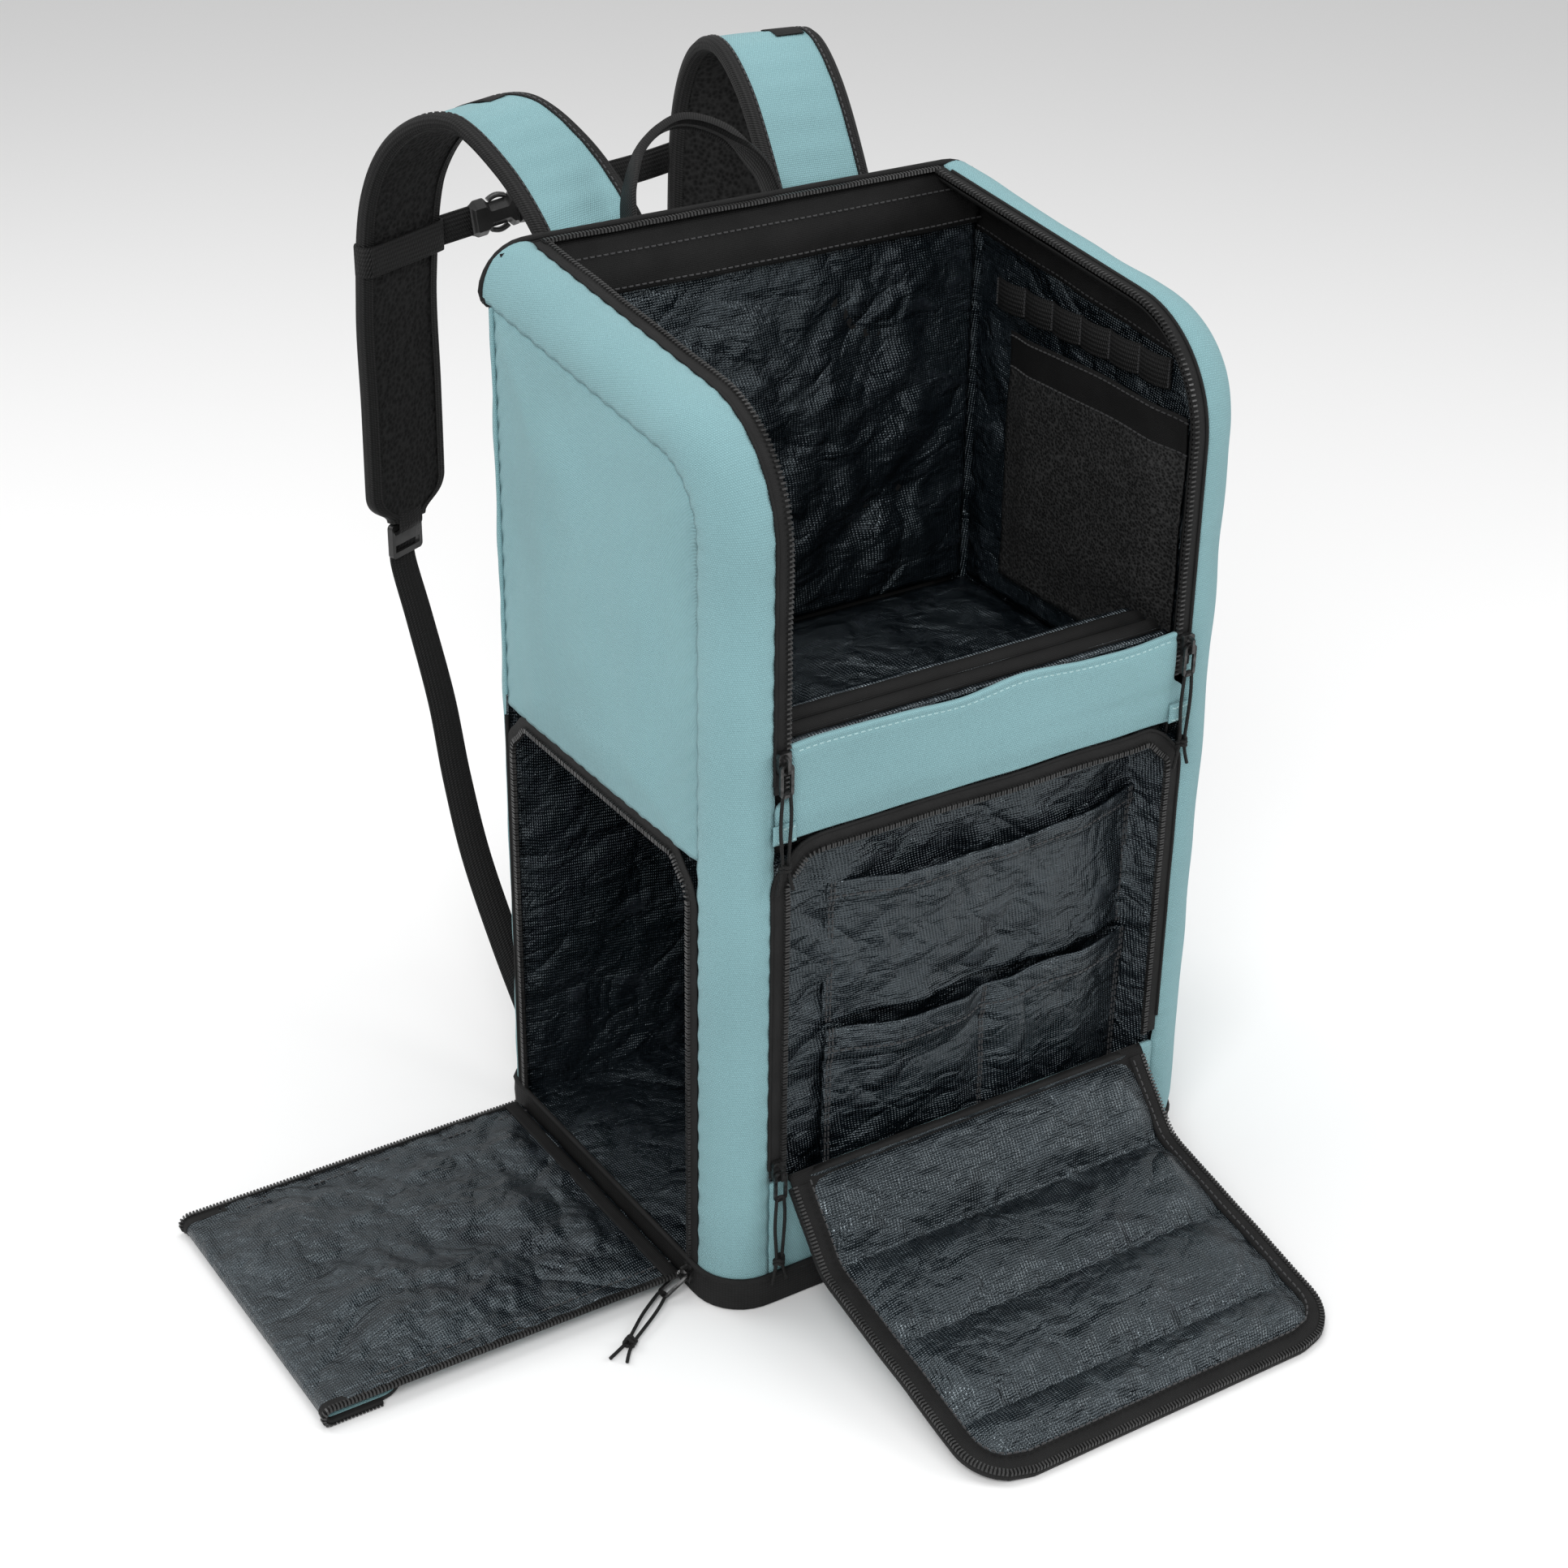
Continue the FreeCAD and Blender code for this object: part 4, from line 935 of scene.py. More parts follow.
def make_pocket_zip():
    top, middle = 0.318, (TAPE_OUTER + TAPE_INNER) / 2
    outer = [(-middle, 0.088), (-middle, 0.300), (-middle + 0.018, top), (middle - 0.018, top),
             (middle, 0.300), (middle, 0.088)]
    line = rounded_path(outer, lambda x, z: Vector((x, -0.1362, z)))
    wavy = [point + Vector((0, 0.0004 * ripple(point, 30), 0.0010 * ripple(point, 24)))
            for point in line]
    stations = frames_along(wavy, FORWARD)
    make_tape("pocket_tape", stations, 0.011, "pocket_zip")
    coil = [origin + across * 0.0040 + up * 0.0013 for origin, across, up in stations]
    zip_teeth("pocket_teeth", coil, FORWARD, "bag")
    edge = [origin - across * 0.0058 + up * 0.0006 for origin, across, up in stations]
    make_seam_cord("pocket_binding", edge, 0.0011, "black", slot="zip_tape", up=FORWARD)


def make_door_zip():
    """The tape and coil round the boot opening on the left side."""
    front, rear, top, low = -0.101, 0.119, 0.305, 0.008
    corners = [(front, low), (front, top - 0.02), (front + 0.02, top), (rear - 0.02, top),
               (rear, top - 0.02), (rear, low)]
    line = rounded_path(corners, lambda y, z: Vector((BOOT_OPENING_X, y, z)))
    stations = frames_along(line, LEFTWARD)
    make_tape("door_tape", stations, 0.010, "door_zip")
    coil = [origin - across * 0.0036 + up * 0.0012 for origin, across, up in stations]
    zip_teeth("door_opening_teeth", coil, LEFTWARD, "bag")


# ---------------------------------------------------------------- inside of the bag

def inside_corner(point):
    """Moves a point in from the bag's rounded front corners, if it would come through them."""
    over = -HALF_DEEP + CORNER - point.y
    if over <= 0:
        return point
    half = HALF_WIDE - CORNER + math.sqrt(max(CORNER ** 2 - over ** 2, 0)) - 0.006
    return Vector((max(min(point.x, half), -half), point.y, point.z))


def make_lining_wall(name, corner, along, up, out, depth, columns, rows, node=None, seed=0.0,
                     fade_long=0.03):
    """A crumpled lining sheet spanned by two edge vectors; out faces the open side."""
    def surface(u, v):
        point = corner + along * u + up * v
        edge = min(u * along.length, (1 - u) * along.length, v * up.length, (1 - v) * up.length)
        fade = smooth_step(edge, 0, fade_long)
        return inside_corner(point + out * (depth * (crumple(point, 9, seed) - 0.35) * fade
                                            + depth * 0.25 * crumple(point, 34, seed + 3) * fade))

    piece = grid(name, surface, columns, rows, ["lining"])
    thicken(piece, 0.0009)
    return attach(piece, "bag", "lining", *([node] if node else []))


def make_inside_walls():
    floor_z, left, right, back = 0.3105, -0.1752, 0.1748, 0.1268
    front = -HALF_DEEP + SEAM_INSET
    for side, word, x, low in ((-1, "left", left, DIVIDER_Z), (1, "right", right, 0.312)):
        def surface(u, v, side=side, x=x, low=low):
            y = front + (0.124 - front) * (1 - math.cos(math.pi * u)) / 2
            high = side_top(y) - 0.001
            z = low + (high - low) * v
            edge = min(y - front, 0.124 - y, high - z, z - low)
            fold = 0.0075 * (crumple((side, y, z), 9, side) - 0.25) * smooth_step(edge, 0.008, 0.040)
            if side > 0:
                near_pocket = min(y + 0.108, 0.100 - y, z - 0.31, 0.545 - z)
                fold *= 1 - 0.9 * smooth_step(near_pocket, -0.02, 0.004)
            return Vector((x - side * max(fold, -0.0008), y, z))

        piece = grid("main_lining_" + word, surface, 70, 60, ["lining"], flip=side > 0)
        thicken(piece, 0.0008)
        attach(piece, "bag", "lining", "lining_" + word)
        facing = grid("facing_" + word, lambda u, v, s=side: inner_facing(s, u, v), 8, 160,
                      ["facing"], flip=side < 0)
        thicken(facing, 0.001)
        attach(facing, "bag", "lining")
        hem = [inner_facing(side, 0.93, i / 150) + Vector((-side * 0.0006, 0, 0)) for i in range(151)]
        stitches("facing_stitches_" + word, hem, Vector((-side, 0, 0)))
    make_lining_wall("main_lining_back", Vector((-0.171, back, 0.312)), Vector((0.342, 0, 0)),
                     Vector((0, 0, 0.262)), FORWARD, 0.010, 90, 66, "lining_back", seed=2.0,
                     fade_long=0.06)
    make_back_facing()
    make_lining_wall("main_floor_lining", Vector((-0.174, -0.132, floor_z)), Vector((0.348, 0, 0)),
                     Vector((0, 0.257, 0)), Z_AXIS, 0.006, 70, 54, "divider_floor", seed=6.0)


def make_back_facing():
    """The dark strip inside the back edge of the mouth, its seam, and the zip on that edge."""
    top = TOP_START.z + TOP_LONG * math.sin(SLOPE)

    def surface(u, v):
        x = (2 * u - 1) * 0.1690
        slack = 0.0035 * math.sin(math.pi * u) + 0.0018 * ripple((x, v * 0.05, 1.0), 24)
        roll = 0.0085 * math.sin(math.pi * min(v * 1.3, 1.0) / 2)
        return Vector((x, 0.1305 - roll - slack * v, top - 0.004 - 0.034 * v))

    piece = grid("back_facing", surface, 90, 12, ["facing"], flip=True)
    thicken(piece, 0.0010)
    attach(piece, "bag", "lining")
    for number, v in enumerate((0.30, 0.90)):
        line = [surface(i / 110, v) + Vector((0, -0.0006, 0)) for i in range(111)]
        stitches(f"back_facing_stitches_{number}", line, FORWARD)
    reach = TAPE_INNER + 0.004
    middle = [Vector((-reach + 2 * reach * i / 60, 0.1318,
                      top - 0.0012 + 0.0006 * ripple((i / 60, 0, 0), 9))) for i in range(61)]
    stations = [(point, Y_AXIS, Z_AXIS) for point in middle]
    make_tape("back_zip_tape", stations, 0.0086)
    coil = [point + Vector((0, -0.0034, 0.0009)) for point in middle]
    zip_teeth("back_zip_teeth", coil, Z_AXIS, "bag")


def inner_facing(side, u, v):
    """The dark strip inside the mouth: from the zip round the corner and down the side."""
    run = 0.312 + v * (WHOLE_LONG - 0.012 - 0.312)
    point, out = crown(run)
    inset = 0.0035 + 0.040 * u
    away = 0.0064 + (HALF_WIDE - TAPE_INNER - 0.0074) * (1 - smooth_step(u, 0.0, 0.62)) ** 1.5
    wave = 0.0016 * ripple((side, u * 0.1, run), 30) * u
    return Vector((side * (HALF_WIDE - away - wave), 0, 0)) + point - out * inset


def make_boot_room():
    """Lining of the boot compartment: ceiling, front, floor and back, open to the left."""
    low, high, front, rear = 0.0065, 0.306, -0.1045, 0.1255
    ring = [(front, low), (rear, low), (rear, high), (front, high)]
    girth = [rear - front, high - low, rear - front, high - low]
    whole = sum(girth)

    def place(u):
        travel = u * whole
        for (y0, z0), (y1, z1), long in zip(ring, ring[1:] + ring[:1], girth):
            if travel <= long:
                return y0 + (y1 - y0) * travel / long, z0 + (z1 - z0) * travel / long
            travel -= long
        return ring[0]

    def surface(u, v):
        y, z = place(u)
        x = -0.1765 + v * 0.348
        middle_y, middle_z = (front + rear) / 2, (low + high) / 2
        fold = 0.004 * crumple((x, y, z), 9, 8.0) * smooth_step(v, 0, 0.06)
        inward = Vector((0, middle_y - y, middle_z - z)).normalized()
        return Vector((x, y, z)) + inward * (fold if z > low + 0.002 else 0.4 * fold)

    piece = grid("boot_room_lining", surface, 120, 40, ["lining"], flip=True)
    thicken(piece, 0.0008)
    attach(piece, "bag", "lining")
    make_lining_wall("boot_room_end", Vector((0.1735, rear, low)), Vector((0, front - rear, 0)),
                     Vector((0, 0, high - low)), LEFTWARD, 0.005, 50, 60, seed=9.0)


def make_pocket_tub():
    low, high, half = 0.030, 0.3105, 0.1465

    def surface(u, v):
        x, z = (2 * u - 1) * half, low + (high - low) * v
        edge = min(half - abs(x), high - z, z - low)
        depth = smooth_step(edge, 0, 0.017)
        fold = 0.0065 * (crumple((x, 0, z), 8, 3.0) + 0.3 * crumple((x, 0, z), 30, 4.0) - 0.45)
        return Vector((x, -0.1340 + 0.0255 * depth - fold * depth, z))

    piece = grid("pocket_tub", surface, 120, 110, ["lining"])
    thicken(piece, 0.0009)
    attach(piece, "bag", "lining", "pocket_wall")


def make_organizer(name, left, right, low, high, front, node, peak=0.0, split=None):
    """A slit pocket of lining cloth on the back of the front pocket, with a folded hem."""
    wide = right - left

    def edge_line(u):
        sag = -0.004 * math.sin(math.pi * u) + 0.0018 * ripple((u * wide, low, 0), 24)
        return sag + peak * math.exp(-((u - 0.72) / 0.16) ** 2)

    def surface(u, v):
        x = left + wide * u
        z = low + (high + edge_line(u) - low) * v
        edge = min(u, 1 - u) * wide
        bulge = smooth_step(edge, 0, 0.05) * (0.35 + 0.65 * v)
        if split is not None:
            bulge *= smooth_step(abs(x - split), 0, 0.02) * 0.6 + 0.4
        fold = 0.0055 * (crumple((x, 1.0, z), 11, low * 10) - 0.4) * smooth_step(edge, 0, 0.015)
        hem = 0.0020 * smooth_step(v, 0.85, 0.87)
        return Vector((x, front + 0.004 - 0.0100 * bulge - fold * (1 - 0.5 * v) - hem, z))

    piece = grid(name, surface, 80, 40, ["lining"])
    thicken(piece, 0.0012)
    attach(piece, "bag", "lining", node)
    hem = [surface(i / 70, 0.90) for i in range(71)]
    stitches(name + "_hem_stitches", hem, FORWARD)
    columns = [0.012, 0.022, 0.978, 0.988]
    if split is not None:
        columns += [(split - left) / wide, (split - left) / wide + 0.008]
    for number, u in enumerate(columns):
        seam = [surface(u, i / 30) for i in range(31)]
        stitches(f"{name}_seam_{number}", seam, FORWARD)


def make_inner_pocket():
    """Net pocket with a tall hem on the right inner wall, and a looped webbing strip above."""
    def surface(u, v):
        y = 0.084 - 0.176 * u
        z = 0.330 + 0.170 * v + 0.004 * math.sin(math.pi * u) * v
        edge = min(u, 1 - u) * 0.176
        swell = 0.0055 * smooth_step(edge, 0, 0.03) * smooth_step(v, 0, 0.3)
        return Vector((0.1712 - (swell + 0.0016 * ripple((0, y, z), 26)), y, z))

    piece = grid("inner_net", surface, 50, 44, ["net", "facing"],
                 paint=lambda u, v: 1 if v > 0.85 else 0)
    thicken(piece, 0.0010)
    attach(piece, "bag", "inner_mesh", "inner_pocket")
    for number, v in enumerate((0.862, 0.985)):
        line = [surface(i / 60, v) for i in range(61)]
        stitches(f"net_hem_stitches_{number}", line, LEFTWARD, slot="inner_mesh")

    loops = 6
    long = 0.172

    def webbing(share):
        y = -0.072 + long * share
        arch = abs(math.sin(math.pi * loops * share)) ** 0.6
        return Vector((0.1722 - 0.0035 * arch, y, 0.522))

    points = [webbing(i / 120) for i in range(121)]
    stations = [(point, Z_AXIS, LEFTWARD) for point in points]
    strip = sweep("loop_strip", stations, strip_section(0.020, 0.0014), ["webbing"])
    attach(strip, "bag", "webbing", "loop_webbing")
    for number in range(loops + 1):
        bar = webbing(number / loops)
        line = [bar + Vector((-0.0012, 0, -0.009 + 0.018 * i / 8)) for i in range(9)]
        stitches(f"bar_tack_{number}", line, LEFTWARD, slot="webbing", pitch=0.0018)


# ---------------------------------------------------------------- pocket flap and boot door

def apply_modifiers(piece):
    graph = bpy.context.evaluated_depsgraph_get()
    shape = bpy.data.meshes.new_from_object(piece.evaluated_get(graph))
    piece.modifiers.clear()
    piece.data = shape


FLOOR_GAP = 0.0003                      # nothing that lies on the floor goes below this


def blend_piece(piece, first, second, start, end, slot, *nodes):
    """Finishes a piece's mesh, keeps it above the floor and bakes its transform."""
    apply_modifiers(piece)
    for vertex in piece.data.vertices:
        vertex.co.z = max(vertex.co.z, FLOOR_GAP)
    tuple(start)
    tuple(end)
    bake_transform(piece)
    if nodes:
        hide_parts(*nodes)
    return piece


def blend_blocks(name, points, ups, blend, pitch, size, material, taper):
    """Small blocks along a path on a folding sheet."""
    blocks = []
    due, travelled = 0.0, 0.0
    for before, after, up in zip(points, points[1:], ups):
        long = (after - before).length
        along = (after - before).normalized()
        while due <= travelled + long:
            middle = before.lerp(after, (due - travelled) / long)
            blocks.append((middle, along, along.cross(up).normalized(), up))
            due += pitch
        travelled += long
    blend_piece(small_blocks(name, blocks, size, [material], taper), *blend, "zip_tape")


def blend_teeth(name, points, ups, blend):
    blend_blocks(name, points, ups, blend, TOOTH_PITCH, (0.0015, 0.0042, 0.0024), "coil", 0.75)


def blend_stitches(name, points, ups, blend):
    size = (STITCH_PITCH * STITCH_SHARE, 0.0009, 0.0009)
    blend_blocks(name, points, ups, blend, STITCH_PITCH, size, "thread_black", 0.8)


FLAP_HALF = 0.1350
FLAP_CORNER = 0.034
FLAP_HINGE = Vector((0, -0.139, 0.090))
FLAP_NEAR, FLAP_FAR = 0.0605, 0.1745
NEAR_FALL, FAR_FALL = math.radians(50), math.radians(12.9)
FLAP_LONG = FLAP_NEAR + FLAP_FAR
FLAP_SEAMS = (0.004, 0.060, 0.126, 0.190, 0.2290)


def fall_direction(angle):
    return Vector((0, -math.cos(angle), -math.sin(angle)))


def flap_line(run):
    """The flap's upper side, run metres from the hinge, eased at the fold."""
    def sharp(s):
        near = FLAP_HINGE + fall_direction(NEAR_FALL) * min(s, FLAP_NEAR)
        return near + fall_direction(FAR_FALL) * max(s - FLAP_NEAR, 0)
    ease = 0.008
    return (sharp(run - ease) + 2 * sharp(run) + sharp(run + ease)) / 4 if run > ease else sharp(run)


def flap_normal(run):
    turn = smooth_step(run, FLAP_NEAR - 0.010, FLAP_NEAR + 0.010)
    angle = NEAR_FALL + (FAR_FALL - NEAR_FALL) * turn
    return Vector((0, -math.sin(angle), math.cos(angle)))


def flap_half(run):
    round_start = FLAP_LONG - FLAP_CORNER
    if run < round_start:
        return FLAP_HALF
    return FLAP_HALF - FLAP_CORNER + math.sqrt(max(FLAP_CORNER ** 2 - (run - round_start) ** 2, 0))


FLAP_BLEND = ("flap_near", "flap_far", flap_line(FLAP_NEAR - 0.009), flap_line(FLAP_NEAR + 0.009))


def flap_point(x, run):
    edge = min(flap_half(run) - abs(x), FLAP_LONG - run)
    before = max(seam for seam in FLAP_SEAMS + (0.0,) if seam <= run + 1e-6)
    after = min([seam for seam in FLAP_SEAMS if seam > run] + [FLAP_LONG])
    share = (run - before) / max(after - before, 1e-6)
    puff = 0.0080 * math.sqrt(max(math.sin(math.pi * share), 0)) * smooth_step(edge, 0.006, 0.03)
    near_seam = 1 - smooth_step(min(run - before, after - run), 0.0, 0.018)
    away = smooth_step(min(run - before, after - run), 0.001, 0.020)
    fold = 0.0032 * (crumple((x, run, 2.0), 12, 5.0) - 0.35) * smooth_step(edge, 0.006, 0.02) * away
    pucker_share = near_seam * smooth_step(run, 0.012, 0.035) * smooth_step(edge, 0.009, 0.016)
    fold += 0.0008 * pucker_share * math.sin(x * 520 + 5 * ripple((x, run, 0), 20))
    return Vector((x, 0, 0)) + flap_line(run) + flap_normal(run) * (puff + fold - 0.0004)


def rim_path(half, long, step=0.004):
    """(x, run) along the two sides and the rounded far end of the flap."""
    path = [Vector((-half(0.001), 0.004, 0))]
    count = int(long / step)
    path += [Vector((-half(long * i / count), long * i / count, 0)) for i in range(2, count + 1)]
    path += [Vector((-point.x, point.y, 0)) for point in reversed(path)]
    return even_path(path, step)


def make_flap():
    def surface(u, v):
        run = 0.002 + (FLAP_LONG - 0.008) * v
        return flap_point((2 * u - 1) * (flap_half(run) - 0.005), run)

    cloth = grid("flap_cloth", surface, 110, 100, ["lining"], flip=True)
    line_lining(cloth, 0.0048, "teal", "black")
    blend_piece(cloth, *FLAP_BLEND, "teal_fabric", "flap_near", "flap_far")
    rim = rim_path(flap_half, FLAP_LONG)
    line, up = [], []
    for spot in rim:
        normal = flap_normal(spot.y)
        line.append(Vector((spot.x, 0, 0)) + flap_line(spot.y) - normal * 0.0022
                    + normal * 0.0008 * ripple((spot.x, spot.y, 0), 30))
        up.append(normal)
    stations = frames_along(line, up)
    inward = [(origin - across * 0.0055, across, normal) for origin, across, normal in stations]
    binding = sweep("flap_binding", inward, [(-0.0070, -0.0046), (0.0035, -0.0044), (0.0062, -0.0024),
                                             (0.0066, 0.0008), (0.0050, 0.0030), (0.0010, 0.0040),
                                             (-0.0062, 0.0046), (-0.0072, 0.0036)], ["black"])
    blend_piece(binding, *FLAP_BLEND, "zip_tape")
    outs = [normal for _, _, normal in stations]
    coil = [origin - across * 0.0012 + normal * 0.0030 for origin, across, normal in stations]
    blend_teeth("flap_teeth", coil, outs, FLAP_BLEND)
    inner = [origin - across * 0.0112 + normal * 0.0068 for origin, across, normal in stations]
    blend_stitches("flap_rim_stitches", inner, outs, FLAP_BLEND)
    for number, run in enumerate(FLAP_SEAMS[1:-1]):
        width, out = flap_half(run) - 0.012, flap_normal(run)
        points = [flap_point(-width + 2 * width * i / 60, run) + out * 0.0004 for i in range(61)]
        blend_stitches(f"flap_seam_{number}", points, [out] * len(points), FLAP_BLEND)
        stations = frames_along([point - out * 0.0004 for point in points], out)
        cord = sweep(f"flap_seam_fold_{number}", stations, tube_section(0.0011, 6), ["lining"])
        blend_piece(cord, *FLAP_BLEND, "lining")

    def hinge(u, v):
        x = (2 * u - 1) * FLAP_HALF
        if v < 0.4:
            wave = Vector((0, 0, 0.0005 * ripple((x, 0, 0), 30)))
            return Vector((x, -0.1375, 0.0885 + 0.004 * v / 0.4)) + wave
        run = (v - 0.4) / 0.6 * 0.014
        return Vector((x, 0, 0)) + flap_line(run) + flap_normal(run) * 0.0012

    strip = grid("flap_hinge_strip", hinge, 60, 14, ["facing"], flip=True)
    thicken(strip, 0.0014)
    start = FLAP_HINGE + Vector((0, 0.001, 0.001))
    blend_piece(strip, "bag", "flap_near", start, flap_line(0.010), "lining")


DOOR_START, DOOR_FOLD = -0.186, -0.4215
DOOR_MIDDLE_Z, DOOR_TURN = 0.0100, 0.0036
DOOR_FRONT, DOOR_REAR = -0.0965, 0.1145
DOOR_TUCK = 0.052
DOOR_TOP_LONG = DOOR_START - DOOR_FOLD
DOOR_LONG = DOOR_TOP_LONG + math.pi * DOOR_TURN + DOOR_TUCK
DOOR_BLEND = ("door_lower", "door_upper",
              Vector((-0.4235, 0, 0.0074)), Vector((-0.4235, 0, 0.0050)))


def door_line(run):
    """The door sheet's middle and its outer direction, run metres from the bag."""
    if run <= DOOR_TOP_LONG:
        return Vector((DOOR_START - run, 0, DOOR_MIDDLE_Z)), Z_AXIS
    run -= DOOR_TOP_LONG
    if run <= math.pi * DOOR_TURN:
        turn = run / DOOR_TURN
        out = Vector((-math.sin(turn), 0, math.cos(turn)))
        return Vector((DOOR_FOLD, 0, DOOR_MIDDLE_Z - DOOR_TURN)) + out * DOOR_TURN, out
    run -= math.pi * DOOR_TURN
    return Vector((DOOR_FOLD + run, 0, DOOR_MIDDLE_Z - 2 * DOOR_TURN)), -Z_AXIS


def door_half(run):
    """Half the door's width: its far corners are rounded."""
    half, radius = (DOOR_REAR - DOOR_FRONT) / 2, 0.020
    over = run - (DOOR_LONG - radius)
    if over > 0:
        half += -radius + math.sqrt(max(radius ** 2 - over ** 2, 0))
    return half


def make_door():
    middle = (DOOR_FRONT + DOOR_REAR) / 2

    def surface(u, v):
        run = DOOR_LONG * v
        half = door_half(run) - 0.002
        y = middle + (2 * u - 1) * half
        point, out = door_line(run)
        edge = min(half - abs(y - middle), run)
        top = 1 - smooth_step(run, DOOR_TOP_LONG - 0.03, DOOR_TOP_LONG)
        fold = (0.0058 * (crumple((point.x, y, 0), 10, 7.0) - 0.25)
                * smooth_step(edge, 0.004, 0.03) * top)
        fold += 0.0016 * crumple((point.x, y, 0), 40, 2.0) * top
        return point + Vector((0, y, 0)) + out * (0.0017 + max(fold, -0.0006))

    cloth = grid("door_cloth", surface, 80, 130, ["lining"])
    line_lining(cloth, 0.0030, "teal", "black")
    blend_piece(cloth, *DOOR_BLEND, "teal_fabric", "door_lower", "door_upper")
    for word, side in (("front", -1), ("rear", 1)):
        line, up = [], []
        count = 150
        for i in range(count + 1):
            run = 0.002 + (DOOR_LONG - 0.022) * i / count
            point, out = door_line(run)
            reach = middle + side * (door_half(run) - 0.003)
            line.append(point + Vector((0, reach, 0)) + out * 0.0006)
            up.append(out)
        stations = frames_along(line, up)
        tape = sweep("door_rim_" + word, stations, strip_section(0.0090, 0.0030), ["tape"])
        blend_piece(tape, *DOOR_BLEND, "zip_tape")
        coil = [origin + Vector((0, side * 0.0036, 0)) + out * 0.0018 for origin, _, out in stations]
        blend_teeth("door_teeth_" + word, coil, up, DOOR_BLEND)
        inner = [origin - Vector((0, side * 0.0085, 0)) + out * 0.0022
                 for origin, _, out in stations[:110]]
        blend_stitches("door_stitches_" + word, inner, up, DOOR_BLEND)

    def hinge(u, v):
        y = middle + (2 * u - 1) * (DOOR_REAR - DOOR_FRONT) / 2
        x = -0.1795 - 0.018 * v
        z = 0.0052 + 0.0072 * smooth_step(v, 0.1, 0.6)
        return Vector((x, y, z + 0.0006 * ripple((x, y, 0), 34)))

    strip = grid("door_hinge_strip", hinge, 50, 12, ["facing"], flip=True)
    thicken(strip, 0.0014)
    blend_piece(strip, "bag", "door_lower", Vector((-0.1815, 0, 0.006)),
                Vector((-0.190, 0, 0.010)), "lining")


# ---------------------------------------------------------------- folded lid

LID_LETTERS = "abcdef"
LID_FOLDS = [(-0.131, 0.386)] + [(-0.124 + 0.007 * i, 0.316 if i % 2 == 0 else 0.386) for i in range(5)]


def make_lid():
    """Six padded segments, teal outside and lined inside; they alternate as they fold."""
    for index, letter in enumerate(LID_LETTERS):
        low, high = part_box("lid_" + letter)
        middle, size = (low + high) / 2, high - low
        outer = 1 if index % 2 == 0 else -1

        def side_of(u, v, sign, middle=middle, size=size, index=index):
            x = middle.x + (2 * u - 1) * size.x / 2
            z = middle.z + (2 * v - 1) * size.z / 2
            edge = min(size.x / 2 - abs(x - middle.x), size.z / 2 - abs(z - middle.z))
            thick = size.y / 2 * (0.80 + 0.20 * smooth_step(edge, 0, 0.010))
            wave = 0.0006 * ripple((x, index, z), 28)
            return Vector((x, middle.y + sign * thick + wave, z))

        name = "lid_segment_" + letter
        front = grid(name, lambda u, v: side_of(u, v, outer), 60, 24, ["teal", "black"],
                     flip=outer > 0,
                     paint=lambda u, v: 1 if min(v, 1 - v) < 0.12 or min(u, 1 - u) < 0.03 else 0)
        line_lining(front, size.y * 0.9, "lining", "black")
        attach(front, "lid_" + letter, "teal_fabric", "lid_" + letter)
        if index == 0:
            continue
        y, z = LID_FOLDS[index]
        down = -1 if z < 0.35 else 1

        def bridge(u, v, y=y, z=z, down=down):
            turn = math.pi * v
            x = (2 * u - 1) * 0.1355
            return Vector((x, y - 0.0062 * math.cos(turn),
                           z - down * 0.0045 + down * 0.0058 * math.sin(turn)))

        fold = grid(f"lid_fold_strip_{letter}", bridge, 40, 10, ["facing"], flip=down < 0)
        thicken(fold, 0.0008)
        before = "lid_" + LID_LETTERS[index - 1]
        blend_piece(fold, before, "lid_" + letter, Vector((0, y - 0.004, z)),
                    Vector((0, y + 0.004, z)), "lining")


# ---------------------------------------------------------------- shoulder straps and webbing

LEFT_STRAP = [((-84, 149.5, 556), 0), ((-90, 172, 592), 3), ((-97, 210, 622), 6),
              ((-110, 250, 640), 12), ((-132, 280, 628), 18), ((-150, 296, 590), 22),
              ((-157, 300, 520), 24), ((-159, 297, 450), 24), ((-162, 292, 390), 24)]
RIGHT_STRAP = [((74, 149.5, 556), 0), ((76, 172, 596), -2), ((80, 208, 640), -4),
               ((84, 245, 660), -8), ((86, 276, 646), -12), ((84, 292, 600), -16),
               ((82, 294, 520), -18), ((80, 289, 450), -18), ((78, 284, 390), -18)]
LEFT_WEBBING = [(-164.5, 290.5, 360), (-166, 291, 350), (-168, 289, 338), (-164, 277, 300),
                (-160, 258, 246), (-161, 238, 196), (-162, 212, 148), (-160, 178, 98),
                (-157, 147, 56)]
RIGHT_WEBBING = [(78, 282.5, 360), (79.5, 283, 350), (82, 280.5, 337), (92, 270, 300),
                 (105, 252, 246), (120, 232, 196), (136, 208, 148), (150, 177, 98),
                 (157, 147, 56)]


def metres(route):
    return [Vector(point) / 1000 for point in route]


def sideways(degrees):
    """A level direction, turned from +X."""
    turn = math.radians(degrees)
    return Vector((math.cos(turn), math.sin(turn), 0))


def ribbon_stations(line, across_at):
    """Stations for a flat ribbon; across_at(index) says which way its width points."""
    last = len(line) - 1
    stations = []
    for index, point in enumerate(line):
        ahead = (line[min(index + 1, last)] - line[max(index - 1, 0)]).normalized()
        across = across_at(index)
        across = (across - ahead * across.dot(ahead)).normalized()
        stations.append((point, across, across.cross(ahead).normalized()))
    return stations


